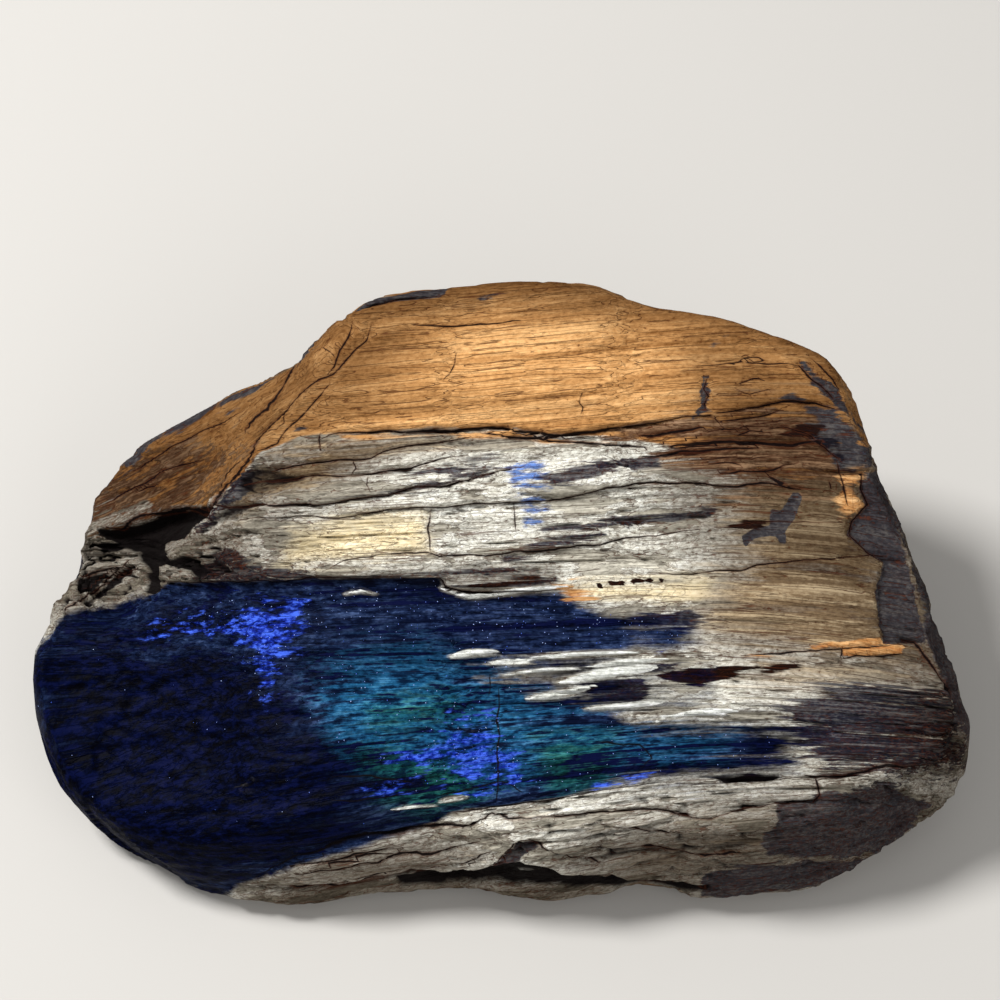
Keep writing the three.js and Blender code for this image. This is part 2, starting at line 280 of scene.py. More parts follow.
# zones of the stone: the mm over which a patch fades, its strength, and its outline in pixels of the photo
patches = {
    "tan": [
        (0.8, 0.6, [(330, 431), (420, 430), (510, 428), (560, 436), (620, 440), (620, 447), (540, 445),
            (440, 441), (340, 441)]),
        (1.6, 1.0, [(290, 345), (330, 290), (430, 250), (560, 245), (660, 260), (790, 290), (870, 350),
            (880, 420), (852, 470), (800, 482), (735, 468), (690, 452), (640, 441), (600, 436), (556, 436),
            (510, 428), (330, 433), (300, 437), (262, 450), (240, 474), (204, 503), (165, 508), (140, 500),
            (118, 496), (60, 480), (150, 400), (220, 370)]),
        (2.5, 0.45, [(255, 882), (330, 858), (345, 874), (300, 890)]),
    ],
    "yellow": [
        (4.0, 0.9, [(290, 530), (360, 512), (425, 512), (432, 556), (350, 562), (270, 572)]),
        (3.0, 0.9, [(560, 586), (720, 575), (700, 604), (600, 602)]),
    ],
    "khaki": [
        (4.0, 0.85, [(215, 500), (262, 448), (320, 432), (480, 428), (570, 436), (565, 445), (470, 447),
            (400, 460), (330, 484), (270, 504), (225, 524)]),
        (13.0, 1.0, [(705, 425), (880, 400), (925, 560), (950, 660), (915, 690), (830, 690), (740, 664),
            (700, 640), (690, 605), (720, 560), (720, 500)]),
        (6.0, 0.45, [(600, 825), (720, 822), (800, 806), (800, 880), (700, 895), (560, 860)]),
        (4.0, 0.45, [(255, 884), (400, 842), (520, 826), (480, 868), (300, 895)]),
    ],
    "brown": [
        (1.5, 0.8, [(596, 433), (640, 426), (690, 424), (690, 446), (640, 448), (600, 445)]),
        (6.0, 0.95, [(690, 424), (760, 412), (830, 404), (856, 440), (858, 472), (810, 490), (730, 488),
            (660, 452)]),
        (6.0, 0.85, [(60, 470), (150, 440), (235, 450), (200, 505), (150, 522), (60, 525)]),
    ],
    "rind": [  # the dull grey skin of the log, which along the bottom right edge and on the right end is partly painted shade
        (1.6, 1.0, [(863, 474), (857, 491), (866, 506), (851, 524), (848, 535), (869, 553), (884, 562),
            (876, 585), (878, 615), (884, 643), (925, 643), (908, 560), (894, 500), (882, 472)]),
        (0.8, 0.95, [(787, 500), (796, 490), (802, 497), (798, 514), (790, 526), (786, 532), (788, 545),
            (780, 546), (774, 537), (757, 539), (743, 548), (741, 535), (757, 526), (769, 524), (771, 506),
            (779, 511)]),
        (2.0, 0.7, [(700, 336), (732, 328), (736, 344), (710, 350)]),
        (1.4, 0.75, [(697, 372), (724, 369), (712, 378), (710, 412), (690, 420), (699, 400)]),
        (2.4, 0.65, [(776, 398), (791, 388), (808, 396), (838, 403), (880, 470), (850, 468), (834, 440),
            (804, 416)]),
        # painted shadow under the bottom right edge
        (2.0, 0.72, [(700, 874), (790, 864), (850, 860), (895, 846), (865, 880), (790, 898), (700, 904)]),
        (3.0, 1.0, [(778, 804), (812, 798), (830, 790), (900, 790), (935, 806), (912, 834), (880, 856),
            (842, 862), (800, 864), (768, 858), (764, 838), (780, 822)]),
        (0.9, 0.9, [(285, 345), (318, 308), (345, 296), (400, 284), (460, 278), (440, 296), (392, 301),
            (345, 312), (318, 327), (300, 348)]),
        (1.0, 0.9, [(484, 869), (506, 850), (523, 841), (545, 843), (530, 853), (510, 862)]),
        (0.8, 0.7, [(600, 880), (622, 878), (626, 892), (602, 892)]),
        # the right end: rind with painted shade of the light's falloff
        (3.0, 0.8, [(845, 350), (885, 400), (1010, 760), (985, 810), (948, 690), (922, 640), (908, 560),
            (884, 480)]),
        (1.6, 0.62, [(470, 294), (520, 286), (530, 294), (480, 302)]),
        (1.4, 0.75, [(288, 427), (304, 423), (315, 427), (310, 432), (288, 433)]),
        (2.0, 0.6, [(196, 414), (214, 406), (244, 402), (246, 413), (230, 420), (214, 421)]),
        (2.2, 0.66, [(112, 466), (150, 432), (205, 402), (258, 372), (296, 342), (316, 312), (336, 316),
            (304, 360), (258, 392), (214, 418), (160, 446), (122, 478)]),
        (2.0, 0.8, [(795, 352), (840, 385), (870, 440), (850, 420), (826, 400), (800, 372)]),
    ],
    "darkWoodAndShade": [  # bare dark wood, streaky, and in some patches painted shade under ledges, beside a split and under the bottom lip
        # these two: painted shade under the ledge at the mid band's lower edge
        (1.4, 0.75, [(190, 562), (226, 546), (250, 557), (290, 567), (330, 573), (330, 581), (240, 585),
            (190, 585)]),
        (0.7, 0.66, [(330, 573), (440, 569), (540, 566), (540, 574), (440, 577), (330, 580)]),
        (4.5, 1.0, [(770, 718), (800, 700), (860, 682), (960, 690), (975, 770), (930, 776), (820, 776),
            (800, 744)]),
        (1.4, 0.9, [(535, 480), (604, 460), (655, 456), (660, 468), (604, 472), (560, 486)]),
        (1.2, 0.64, [(405, 473), (470, 454), (520, 446), (505, 459), (440, 475)]),
        (1.0, 0.72, [(270, 502), (330, 496), (420, 484), (490, 468), (498, 472), (420, 491), (330, 503)]),
        # painted shade beside the split down the left shoulder
        (1.0, 0.9, [(215, 500), (250, 455), (262, 452), (245, 490), (215, 520), (180, 545)]),
        (1.0, 0.85, [(536, 526), (586, 520), (657, 512), (716, 508), (714, 516), (657, 523), (600, 530),
            (540, 533)]),
        (1.2, 0.85, [(496, 554), (540, 538), (604, 529), (614, 537), (560, 551), (506, 564)]),
        (1.2, 0.8, [(450, 586), (500, 579), (556, 574), (560, 582), (520, 588), (470, 592)]),
        (1.2, 0.9, [(806, 424), (832, 428), (852, 450), (857, 474), (842, 470), (828, 452), (810, 440)]),
        (2.0, 0.8, [(598, 604), (690, 606), (705, 622), (690, 634), (640, 622)]),
        (1.4, 0.65, [(640, 660), (700, 655), (690, 668), (650, 676)]),
        (1.2, 0.85, [(576, 682), (640, 676), (652, 690), (640, 704), (590, 702)]),
        # painted shadow under the bottom lip
        (4.0, 0.8, [(706, 870), (784, 864), (800, 880), (720, 888)]),
    ],
    "stain": [  # iron stains
        (1.2, 1.0, [(657, 676), (690, 668), (736, 667), (756, 667), (726, 678), (700, 685), (676, 683)]),
        (1.2, 0.9, [(756, 671), (789, 664), (812, 663), (770, 673)]),
        (1.0, 0.62, [(480, 547), (534, 536), (590, 526), (650, 518), (640, 525), (590, 533), (530, 544)]),
        (1.0, 0.6, [(470, 562), (530, 550), (590, 540), (560, 550), (510, 560)]),
        (1.0, 0.62, [(455, 585), (517, 577), (560, 573), (540, 582), (500, 588), (470, 591)]),
        (0.7, 0.6, [(586, 494), (611, 486), (657, 483), (711, 485), (657, 488), (611, 492)]),
        (0.6, 0.75, [(640, 455), (690, 450), (745, 446), (700, 454)]),
        (1.0, 0.8, [(716, 530), (745, 520), (776, 520), (760, 530)]),
        (1.0, 0.62, [(772, 438), (800, 424), (824, 428), (812, 436), (790, 442)]),
        (0.6, 1.0, [(728, 772), (750, 767), (772, 772), (750, 780)]),
        (0.8, 0.6, [(490, 590), (560, 592), (540, 600), (495, 599)]),
    ],
    "deep": [  # the darkest agate
        (11.0, 1.25, [(20, 640), (110, 635), (200, 640), (285, 664), (318, 715), (335, 760), (360, 800),
            (360, 850), (260, 885), (150, 915), (20, 900)]),
        (4.0, 0.78, [(50, 605), (160, 588), (330, 588), (325, 606), (240, 640), (50, 660)]),
        (2.5, 0.85, [(610, 764), (700, 757), (795, 757), (790, 780), (640, 784)]),
        (2.0, 0.8, [(330, 585), (450, 580), (560, 596), (540, 606), (440, 602), (340, 598)]),
        (2.0, 0.8, [(540, 652), (700, 648), (716, 690), (650, 712), (560, 710)]),
        (6.0, 0.95, [(745, 712), (830, 716), (830, 775), (740, 770)]),
        (2.0, 0.48, [(30, 590), (450, 570), (700, 600), (860, 740), (640, 800), (200, 900), (30, 880)]),
        (3.0, 0.85, [(295, 772), (380, 764), (440, 776), (420, 800), (340, 815)]),
        (2.5, 0.65, [(516, 688), (580, 690), (604, 712), (540, 718)]),
        (1.5, 0.75, [(296, 664), (350, 668), (420, 672), (360, 684), (300, 690)]),
    ],
    "teal": [
        (8.0, 1.0, [(290, 690), (340, 650), (420, 640), (480, 665), (560, 690), (620, 715), (690, 726),
            (740, 728), (720, 756), (600, 780), (500, 790), (420, 808), (370, 790), (320, 750)]),
    ],
    "green": [
        (5.0, 1.05, [(350, 745), (470, 742), (490, 805), (430, 826), (370, 806)]),
        (5.0, 1.0, [(525, 730), (620, 728), (615, 788), (545, 802)]),
        (5.0, 0.95, [(350, 695), (455, 685), (470, 722), (370, 735)]),
    ],
    "paintedGlint": [  # painted blue glints and sheen: the lamp's reflection on the agate and on the cream band
        (3.0, 0.95, [(238, 602), (304, 600), (300, 640), (272, 658), (276, 690), (256, 704), (250, 660),
            (238, 640)]),
        (3.4, 1.0, [(428, 742), (450, 720), (500, 712), (502, 738), (524, 745), (520, 778), (480, 778),
            (430, 768), (390, 764), (400, 752)]),
        (3.0, 0.55, [(140, 615), (240, 612), (240, 640), (150, 636)]),
        (1.5, 0.7, [(360, 784), (412, 778), (412, 796), (365, 798)]),
        (1.2, 0.8, [(446, 790), (495, 780), (494, 792), (455, 797)]),
        (0.8, 0.9, [(648, 650), (668, 650), (664, 659), (650, 659)]),
        (1.0, 0.8, [(588, 778), (650, 770), (646, 780), (592, 788)]),
        (2.4, 1.0, [(508, 468), (530, 460), (545, 464), (543, 484), (528, 490), (511, 488)]),
        (2.2, 0.95, [(512, 497), (532, 490), (549, 493), (545, 505), (528, 510)]),
        (2.0, 0.8, [(519, 516), (534, 509), (547, 512), (543, 522), (526, 528)]),
    ],
    "ochre": [  # rusty chips
        (2.2, 0.68, [(554, 586), (574, 586), (600, 599), (584, 605), (566, 600)]),
        (0.6, 1.0, [(808, 646), (881, 638), (882, 643), (811, 650)]),
        (0.5, 1.0, [(842, 649), (903, 645), (902, 654), (843, 657)]),
        (1.0, 0.5, [(733, 652), (828, 648), (826, 656), (740, 660)]),
        (2.0, 0.7, [(838, 478), (862, 474), (857, 492), (866, 506), (850, 522), (836, 510)]),
    ],
    "wearAndShade": [  # dulled towards the rim, along the mid band's lower edge and under the bottom lip: painted shade of the light's falloff and of shadows, with some dirt and wear
        (2.0, 0.75, [(180, 566), (330, 567), (440, 567), (560, 562), (560, 594), (440, 586), (180, 592)]),
        (5.0, 0.9, [(160, 530), (245, 505), (264, 545), (262, 590), (150, 596)]),
        (7.0, 0.7, [(740, 430), (870, 430), (895, 560), (860, 600), (770, 560), (730, 500)]),
        (5.0, 0.7, [(652, 462), (700, 448), (740, 452), (748, 560), (690, 560), (660, 520)]),
        (4.0, 0.85, shoulder["outline"]),
        (9.0, 0.85, [(440, 290), (420, 350), (370, 410), (300, 450), (200, 520), (100, 540), (60, 480),
            (250, 340)]),
        (3.0, 0.85, [(50, 580), (80, 505), (130, 505), (215, 525), (245, 580), (150, 610), (40, 630)]),
        (9.0, 0.65, [(200, 505), (255, 450), (330, 437), (380, 442), (370, 500), (320, 515), (300, 575),
            (160, 585)]),
        (9.0, 0.95, [(560, 850), (700, 790), (820, 780), (980, 770), (980, 920), (560, 930)]),
        (10.0, 0.95, [(830, 380), (1010, 380), (1010, 820), (900, 800), (880, 600)]),
        (6.0, 0.97, [(285, 380), (350, 340), (500, 312), (640, 320), (760, 350), (850, 410), (900, 260),
            (280, 230)]),
        (8.0, 0.78, [(680, 320), (780, 340), (880, 400), (860, 480), (720, 470), (690, 420)]),
        (2.5, 1.0, [(200, 905), (300, 880), (480, 872), (620, 884), (720, 894), (720, 950), (200, 950)]),
        (7.0, 0.9, [(230, 900), (280, 850), (420, 825), (470, 850), (430, 900)]),
    ],
    "druse": [  # where quartz grains have grown on the agate
        (3.0, 0.7, [(150, 618), (330, 586), (560, 596), (690, 622), (690, 645), (600, 650), (480, 655),
            (340, 640)]),
        (4.0, 0.3, [(330, 650), (520, 690), (650, 720), (780, 724), (760, 765), (560, 792), (420, 800),
            (300, 720)]),
        (3.0, 1.0, [(428, 742), (450, 720), (500, 712), (524, 745), (520, 778), (480, 778), (430, 768)]),
        (3.0, 0.8, [(240, 602), (304, 600), (290, 660), (256, 690)]),
        (4.0, 0.02, [(40, 640), (330, 590), (400, 830), (200, 880), (60, 800)]),
    ],
}


def softPatches(drawn):  # the strongest of some patches
    weight = np.zeros(len(places))
    for edge, strength, outline in drawn:
        weight = np.maximum(weight, strength * smooth(-edge, edge, patchField(outline, places)))
    return weight


weights = {zone: softPatches(drawn) for zone, drawn in patches.items()}

# white splinters that lie over the agate: half the greatest thickness in mm, a line in pixels of the photo
slivers = [
    (0.62, [(448, 657), (470, 653), (499, 651)]),
    (0.42, [(485, 664), (505, 662), (532, 663)]),
    (0.42, [(520, 660), (550, 656), (590, 654), (645, 652)]),
    (0.3, [(502, 676), (540, 671), (586, 668)]),
    (0.8, [(556, 683), (600, 675), (660, 667)]),
    (0.5, [(590, 667), (625, 662), (670, 659)]),
    (0.6, [(526, 698), (560, 694), (595, 686)]),
    (0.5, [(585, 709), (620, 706), (668, 701)]),
    (0.5, [(664, 717), (700, 712), (740, 711)]),
    (0.3, [(654, 725), (665, 715)]),
    (0.36, [(439, 804), (455, 799), (468, 796)]),
    (0.32, [(393, 814), (415, 810), (436, 810)]),
    (0.45, [(440, 588), (470, 596), (515, 591), (566, 586)]),
    (0.22, [(344, 594), (360, 591), (376, 594)]),
]
sliverForm = {
    "taper": 0.7,
    "blunt": 0.05,  # share of the thickness at the tips
    "thinnest": 0.12,
    "clearing": 3.0,  # how hard they push the agate's edge away
}
sliverField = np.full(len(places), -farAway)  # mm inside a sliver
sliverShare = np.full(len(places), -2.0)  # 1 on a sliver's middle line, 0 at its edge
for width, line in slivers:
    near, above, along = lineField(line, places)
    bulge = np.clip(4 * along * (1 - along) + sliverForm["blunt"], 0.0, 1.0)
    half = width * bulge ** sliverForm["taper"]
    sliverField = np.maximum(sliverField, half - near)
    sliverShare = np.maximum(sliverShare, 1.0 - near / np.maximum(half, sliverForm["thinnest"]))

agate = {
    "outline": [
        (20, 690), (40, 640), (62, 613), (110, 606), (165, 584), (240, 583), (330, 579), (438, 577),
        (447, 590), (470, 593), (560, 592), (580, 602), (615, 607), (660, 613), (690, 622), (694, 640),
        (676, 652), (640, 656), (650, 690), (640, 712), (700, 722), (760, 720), (790, 726), (815, 738),
        (795, 750), (800, 764), (770, 772), (730, 775), (640, 780), (600, 787), (575, 795), (555, 802),
        (506, 810), (452, 819), (421, 834), (365, 848), (322, 862), (300, 868), (255, 884), (200, 907),
        (100, 900), (20, 800)],
    "recess": 0.7,
    "fraying": (470.0, 640.0),  # between these places its edge begins to fray out along the grain
    "crisp": 4.0,  # how sharp its edge is before and after that
    "frayed": 0.45,
    "splintered": [(440, 650), (500, 643), (560, 643), (640, 654), (720, 662), (720, 700), (680, 722),
                   (560, 714), (470, 694)],
    "splinters": (575.0, 650.0),  # across there, dark agate with slivers in it gives way to pale wood
    "dark": 1.2,
    "pale": 1.4,
    "leftEnd": -46.0,  # past here the agate runs right round the stone
    "leftFade": 0.25,
    "leftRagged": 3.0,
    "leftNoise": {"size": (30.0, 9.0, 9.0), "seed": 3},
    "deepest": 2.5,
    "blend": (-2.0, 2.4),
}
agateField = patchField(agate["outline"], places)
agateField *= agate["crisp"] + (agate["frayed"] - agate["crisp"]) * smooth(*agate["fraying"], places[:, 0])
splintered = smooth(-2.0, 2.0, patchField(agate["splintered"], places))
givingWay = smooth(*agate["splinters"], places[:, 0])
agateField += splintered * (agate["dark"] - agate["pale"] * givingWay - agateField)
agateField = np.minimum(agateField, -sliverForm["clearing"] * sliverField)
agateField = np.clip(agateField, -agate["deepest"], agate["deepest"])
hiddenAgate = agate["leftFade"] * (agate["leftEnd"] - points[:, 0])
hiddenAgate += agate["leftRagged"] * noiseAt(layers, **agate["leftNoise"])
hiddenAgate = np.clip(hiddenAgate, -agate["deepest"], agate["deepest"])
agateField = seen * agateField + unseen * hiddenAgate
inAgate = smooth(*agate["blend"], agateField)
print("zones drawn")

# the layers' relief in mm, and the patterns that make it: mm along and across the grain, and a seed
relief = {
    "cream": 1.25, "khaki": 0.5, "tan": 0.32, "brown": 0.9, "shoulder": 1.1, "agate": 0.4, "hidden": 1.2,
    "swell": 0.5, "fibre": 0.10, "endBreak": 0.7,
    "ledges": 1.1, "thinLedges": 0.5, "splits": 0.5, "thinSplits": 0.25,  # shares of the zone's relief
    "wobble": 0.45, "thinWobble": 0.2,
}
patterns = {
    "swell": {"size": (42.0, 17.0, 17.0), "seed": 1},
    "ledges": {"size": (44.0, 5.0, 5.0), "steps": 3.0, "riser": 0.2, "seed": 4},
    "thinLedges": {"size": (20.0, 1.8, 2.4), "steps": 2.0, "riser": 0.3, "seed": 5},
    "splits": {"size": (40.0, 2.8, 3.5), "width": 0.06, "seed": 6},
    "thinSplits": {"size": (18.0, 1.3, 1.8), "width": 0.07, "seed": 7},
    "fibre": {"size": (8.0, 0.8, 1.0), "seed": 8},
    "endBreak": {"size": (60.0, 4.2, 4.8), "steps": 3.0, "riser": 0.35, "seed": 9},
    "wobble": {"size": (5.0, 3.0, 3.0), "seed": 10},
    "thinWobble": {"size": (1.6, 1.1, 1.1), "seed": 11},
}
onAgate = {"hidden": 0.85, "fibre": 0.7, "ends": 0.8}  # shares of the relief that the smooth agate loses
endFacing = (0.5, 0.85)  # how far a place faces along the grain, where the broken ends begin

inShoulder = smooth(-shoulder["edge"], shoulder["edge"], patchField(shoulder["outline"], places))
zoneShares = {"khaki": weights["khaki"], "tan": weights["tan"], "brown": weights["brown"],
              "shoulder": inShoulder, "agate": inAgate}
faceRelief = relief["cream"]
for zone, share in zoneShares.items():
    faceRelief = faceRelief + (relief[zone] - faceRelief) * share
layered = seen * faceRelief + unseen * relief["hidden"] * (1.0 - onAgate["hidden"] * inAgate)
fine *= 1.0 - shoulder["plainer"] * inShoulder * seen
height = relief["swell"] * noiseAt(layers, **patterns["swell"])
height += layered * relief["ledges"] * terraces(layers, **patterns["ledges"])
height += layered * fine * relief["thinLedges"] * terraces(layers, **patterns["thinLedges"])
height -= layered * fine * relief["splits"] * splits(layers, **patterns["splits"])
height -= layered * fine * relief["thinSplits"] * splits(layers, **patterns["thinSplits"])
fibred = fine * (1.0 - onAgate["fibre"] * inAgate)
height += relief["fibre"] * fibred * noiseAt(layers, **patterns["fibre"])
height -= agate["recess"] * inAgate * seen
ends = smooth(*endFacing, np.abs(outward[:, 0])) * (1.0 - onAgate["ends"] * inAgate)
height += ends * relief["endBreak"] * terraces(layers, **patterns["endBreak"])
wobble = noiseAt(layers, **patterns["wobble"]) * relief["wobble"]
wobble += noiseAt(layers, **patterns["thinWobble"]) * relief["thinWobble"]

# splits along the grain: mm deep, half width of the drawn line, half width of the groove, how far the layer
# above stands up over the one below, how far that step reaches back, and a line in pixels of the photo
seams = [
    (1.2, 0.3, 0.3, 0.9, 12.0, [(318, 439), (330, 433), (420, 431), (470, 429), (508, 428), (517, 431),
        (556, 435), (600, 431), (640, 424), (690, 417), (714, 416)]),
    (0.8, 0.4, 0.4, 0.4, 6.0, [(716, 414), (745, 408), (790, 403), (816, 404), (836, 408)]),
    (0.7, 0.5, 0.5, 0.3, 2.0, [(640, 436), (680, 432), (704, 428)]),
    (0.7, 0.55, 0.55, 0.3, 2.0, [(640, 456), (690, 450), (740, 447), (760, 448)]),
    (0.4, 0.3, 0.3, 0.2, 2.0, [(722, 421), (760, 416), (784, 412)]),
    (0.4, 0.34, 0.34, 0.2, 2.0, [(690, 484), (735, 486), (770, 484), (802, 489)]),
    (0.4, 0.3, 0.3, 0.2, 2.0, [(734, 434), (752, 431), (772, 433)]),
    (0.3, 0.3, 0.3, 0.2, 2.0, [(700, 467), (722, 464), (746, 465)]),
    (0.9, 0.3, 0.3, 0.3, 2.0, [(470, 433), (520, 436), (560, 440), (610, 445), (648, 447)]),
    (1.0, 0.3, 0.3, 0.7, 4.0, [(205, 506), (300, 504), (332, 504), (365, 499), (393, 492), (439, 485),
        (495, 472), (525, 465)]),
    (0.6, 0.25, 0.3, 0.5, 3.5, [(240, 519), (300, 517), (343, 517), (391, 509), (430, 508), (456, 506),
        (506, 504), (560, 499), (600, 490), (633, 484), (665, 482), (708, 486), (773, 487)]),
    (0.6, 0.25, 0.3, 0.4, 5.0, [(333, 567), (343, 559), (380, 554), (430, 552), (439, 556), (467, 556),
        (495, 554), (560, 548), (640, 538), (700, 528)]),
    (0.6, 0.3, 0.3, 0.9, 6.0, [(160, 582), (240, 583), (330, 579), (438, 576), (446, 588), (470, 591),
        (560, 591)]),
    (0.6, 0.22, 0.3, 0.3, 4.0, [(640, 576), (700, 574), (743, 570), (758, 565), (795, 562), (860, 555),
        (888, 555)]),
    (0.6, 0.24, 0.3, 0.4, 3.0, [(270, 470), (300, 466), (328, 461), (372, 457), (408, 444), (473, 437)]),
    (0.6, 0.24, 0.3, 0.3, 2.5, [(240, 484), (300, 477), (335, 476), (372, 472), (417, 465), (470, 456)]),
    (0.6, 0.26, 0.7, 0.4, 3.0, [(106, 503), (121, 493), (145, 482), (156, 473), (182, 464), (200, 460)]),
    (0.5, 0.22, 0.7, 0.3, 3.0, [(130, 470), (170, 447), (215, 427), (245, 412)]),
    (0.5, 0.22, 0.7, 0.3, 2.0, [(136, 493), (145, 487), (158, 485)]),
    (0.4, 0.24, 0.8, 0.0, 3.0, [(215, 398), (262, 372), (292, 350)]),
    (0.9, 0.3, 0.3, -0.7, 3.0, [(285, 352), (318, 325), (345, 310), (392, 300), (450, 294)]),
    (0.9, 0.26, 0.3, -0.4, 4.0, [(255, 882), (300, 861), (365, 843), (421, 833), (469, 828), (491, 820),
        (508, 823), (560, 817), (604, 813), (648, 811), (684, 817), (711, 820), (743, 808), (813, 801)]),
    (0.5, 0.22, 0.3, -0.7, 5.0, [(452, 819), (506, 811), (560, 802), (600, 788), (648, 781), (702, 781),
        (770, 778), (813, 776)]),
    (2.0, 0.6, 0.6, 0.9, 5.0, [(290, 889), (343, 889), (372, 882), (413, 877), (452, 876), (474, 871),
        (495, 868), (517, 863), (567, 876), (611, 876), (626, 884), (658, 887), (705, 892)]),
    (0.6, 0.24, 0.3, 0.4, 2.5, [(484, 869), (506, 850), (523, 841), (541, 843), (556, 852), (573, 858),
        (604, 861)]),
    (1.2, 0.5, 0.5, 0.4, 3.0, [(805, 774), (842, 774), (867, 771), (886, 764), (915, 768), (951, 764)]),
    (0.6, 0.4, 0.6, 0.9, 4.0, [(106, 527), (121, 528), (143, 516), (169, 513), (204, 503)]),
    (0.3, 0.22, 0.3, 0.2, 3.0, [(410, 324), (450, 328), (500, 323), (522, 321)]),
    (0.3, 0.22, 0.3, 0.2, 2.0, [(332, 778), (370, 776), (400, 780), (414, 783)]),
    (0.3, 0.2, 0.3, 0.2, 2.0, [(330, 800), (385, 797), (412, 791)]),
    (0.4, 0.22, 0.3, 0.2, 2.0, [(436, 795), (470, 786), (500, 779), (524, 789)]),
    (0.3, 0.2, 0.3, 0.0, 2.0, [(733, 365), (745, 358), (760, 358), (766, 362)]),
    (0.4, 0.2, 0.3, 0.2, 2.0, [(740, 656), (808, 650), (842, 649), (903, 645)]),
    (0.3, 0.2, 0.3, 0.3, 2.0, [(843, 658), (903, 655)]),
    (0.3, 0.2, 0.3, 0.2, 2.0, [(596, 742), (640, 744), (652, 756), (640, 764)]),
    (0.5, 0.22, 0.3, 0.2, 2.0, [(680, 421), (711, 416), (725, 429)]),
    (0.8, 0.55, 0.55, 0.3, 2.0, [(672, 446), (700, 443), (727, 440), (758, 443), (790, 444), (822, 440)]),
    (0.6, 0.24, 0.6, 0.3, 2.0, [(763, 430), (784, 428), (812, 436), (827, 451), (841, 463)]),
    (0.4, 0.18, 0.3, 0.2, 2.0, [(708, 432), (760, 424), (800, 420)]),
    (0.4, 0.18, 0.3, 0.2, 2.0, [(690, 460), (740, 457), (790, 455), (836, 461)]),
    (0.5, 0.4, 0.4, 0.2, 2.0, [(720, 473), (752, 471), (775, 468), (798, 462)]),
    (0.4, 0.36, 0.36, 0.2, 2.0, [(766, 474), (780, 482), (790, 486), (804, 487)]),
    (0.3, 0.2, 0.3, 0.1, 2.0, [(711, 527), (740, 524), (772, 521), (812, 521), (843, 522)]),
    (0.3, 0.2, 0.3, 0.1, 2.0, [(732, 385), (756, 378), (766, 382)]),
    (0.3, 0.18, 0.3, -0.1, 2.0, [(732, 385), (749, 393), (775, 388)]),
    (0.3, 0.18, 0.3, 0.1, 3.0, [(690, 366), (740, 362), (800, 364)]),
    (0.4, 0.26, 0.3, 0.3, 2.0, [(296, 877), (360, 862), (430, 850), (482, 841)]),
    (0.4, 0.24, 0.3, 0.3, 2.0, [(330, 885), (400, 868), (462, 859), (500, 847)]),
    (0.3, 0.22, 0.3, 0.2, 2.0, [(284, 874), (345, 858), (400, 847)]),
    (0.4, 0.22, 0.3, 0.3, 2.0, [(600, 826), (650, 829), (702, 836), (760, 832)]),
    (0.4, 0.22, 0.3, 0.3, 2.0, [(580, 846), (640, 850), (700, 858), (770, 852)]),
    (0.7, 0.3, 0.7, 0.4, 3.0, [(62, 613), (98, 588), (128, 560)]),
    (0.5, 0.24, 0.7, 0.3, 3.0, [(75, 603), (110, 580), (140, 566)]),
    (0.6, 0.3, 0.3, 0.3, 3.0, [(78, 574), (100, 570), (122, 566)]),
]
# other cracks: depth and half width in mm, and a line in pixels of the photo
cracks = {
    "check": [  # across the grain and on the slant
        (0.3, 0.11, [(498, 688), (499, 705), (497, 718), (500, 735), (497, 752), (498, 770), (496, 797)]),
        (0.4, 0.12, [(432, 508), (428, 530), (431, 553)]),
        (0.2, 0.08, [(513, 503), (516, 532)]),
        (0.2, 0.08, [(457, 352), (454, 366), (449, 375), (441, 381)]),
        (0.2, 0.08, [(582, 392), (578, 401), (583, 407), (580, 415)]),
        (0.3, 0.12, [(707, 378), (703, 389), (708, 396), (704, 404), (706, 412)]),
        (0.3, 0.12, [(320, 433), (318, 440), (321, 450)]),
        (0.9, 0.2, [(903, 640), (913, 642), (934, 667), (954, 686), (961, 706)]),
        (0.5, 0.16, [(816, 778), (820, 795), (813, 803)]),
        (0.3, 0.1, [(842, 646), (842, 658)]),
        (0.4, 0.13, [(836, 461), (841, 478), (843, 489), (848, 506)]),
        (0.2, 0.09, [(827, 480), (831, 492)]),
        (0.4, 0.12, [(843, 474), (863, 473), (860, 489), (867, 503), (853, 520), (850, 534), (869, 553),
            (884, 562)]),
        (0.5, 0.14, [(798, 364), (812, 380), (824, 388), (836, 399)]),
        (0.4, 0.12, [(812, 358), (826, 372), (842, 388)]),
        (0.2, 0.09, [(282, 412), (284, 422), (276, 429), (266, 430)]),
        (0.2, 0.09, [(320, 346), (330, 352), (336, 358)]),
        (0.2, 0.08, [(369, 474), (366, 482), (371, 492)]),
        (0.2, 0.08, [(352, 458), (356, 468), (350, 474)]),
    ],
    "ridge": [  # the long split down the left shoulder
        (0.5, 0.16, [(372, 326), (366, 340), (354, 350), (334, 374), (318, 380), (300, 392), (284, 410),
            (268, 422), (256, 436), (246, 458), (232, 476), (214, 498), (200, 518), (176, 538)]),
    ],
    "flank": [  # shorter ones that lie close beside another
        (0.1, 0.07, [(489, 672), (490, 684), (488, 698)]),
        (0.3, 0.13, [(352, 322), (348, 336), (340, 350), (334, 366), (326, 376)]),
        (0.4, 0.14, [(296, 356), (288, 368), (280, 384), (266, 406), (254, 418), (244, 432)]),
        (0.3, 0.13, [(330, 384), (312, 404), (300, 418), (288, 428), (276, 442), (256, 449)]),
        (0.4, 0.12, [(238, 460), (226, 472), (206, 500), (190, 516)]),
    ],
}
cutting = {
    "stepEdge": 0.2,  # mm
    "stepEnd": (1.5, 0.0),  # mm past a line's end, where its step and its groove fade
    "grooveEnd": (0.8, 0.1),
    "grooveShare": 0.75,
    "crackGroove": 0.7,
    "crackSway": 0.5,
}


def taper(along):  # thinner towards both ends of a line
    return np.clip(6.0 * along * (1.0 - along), 0.05, 1.0)


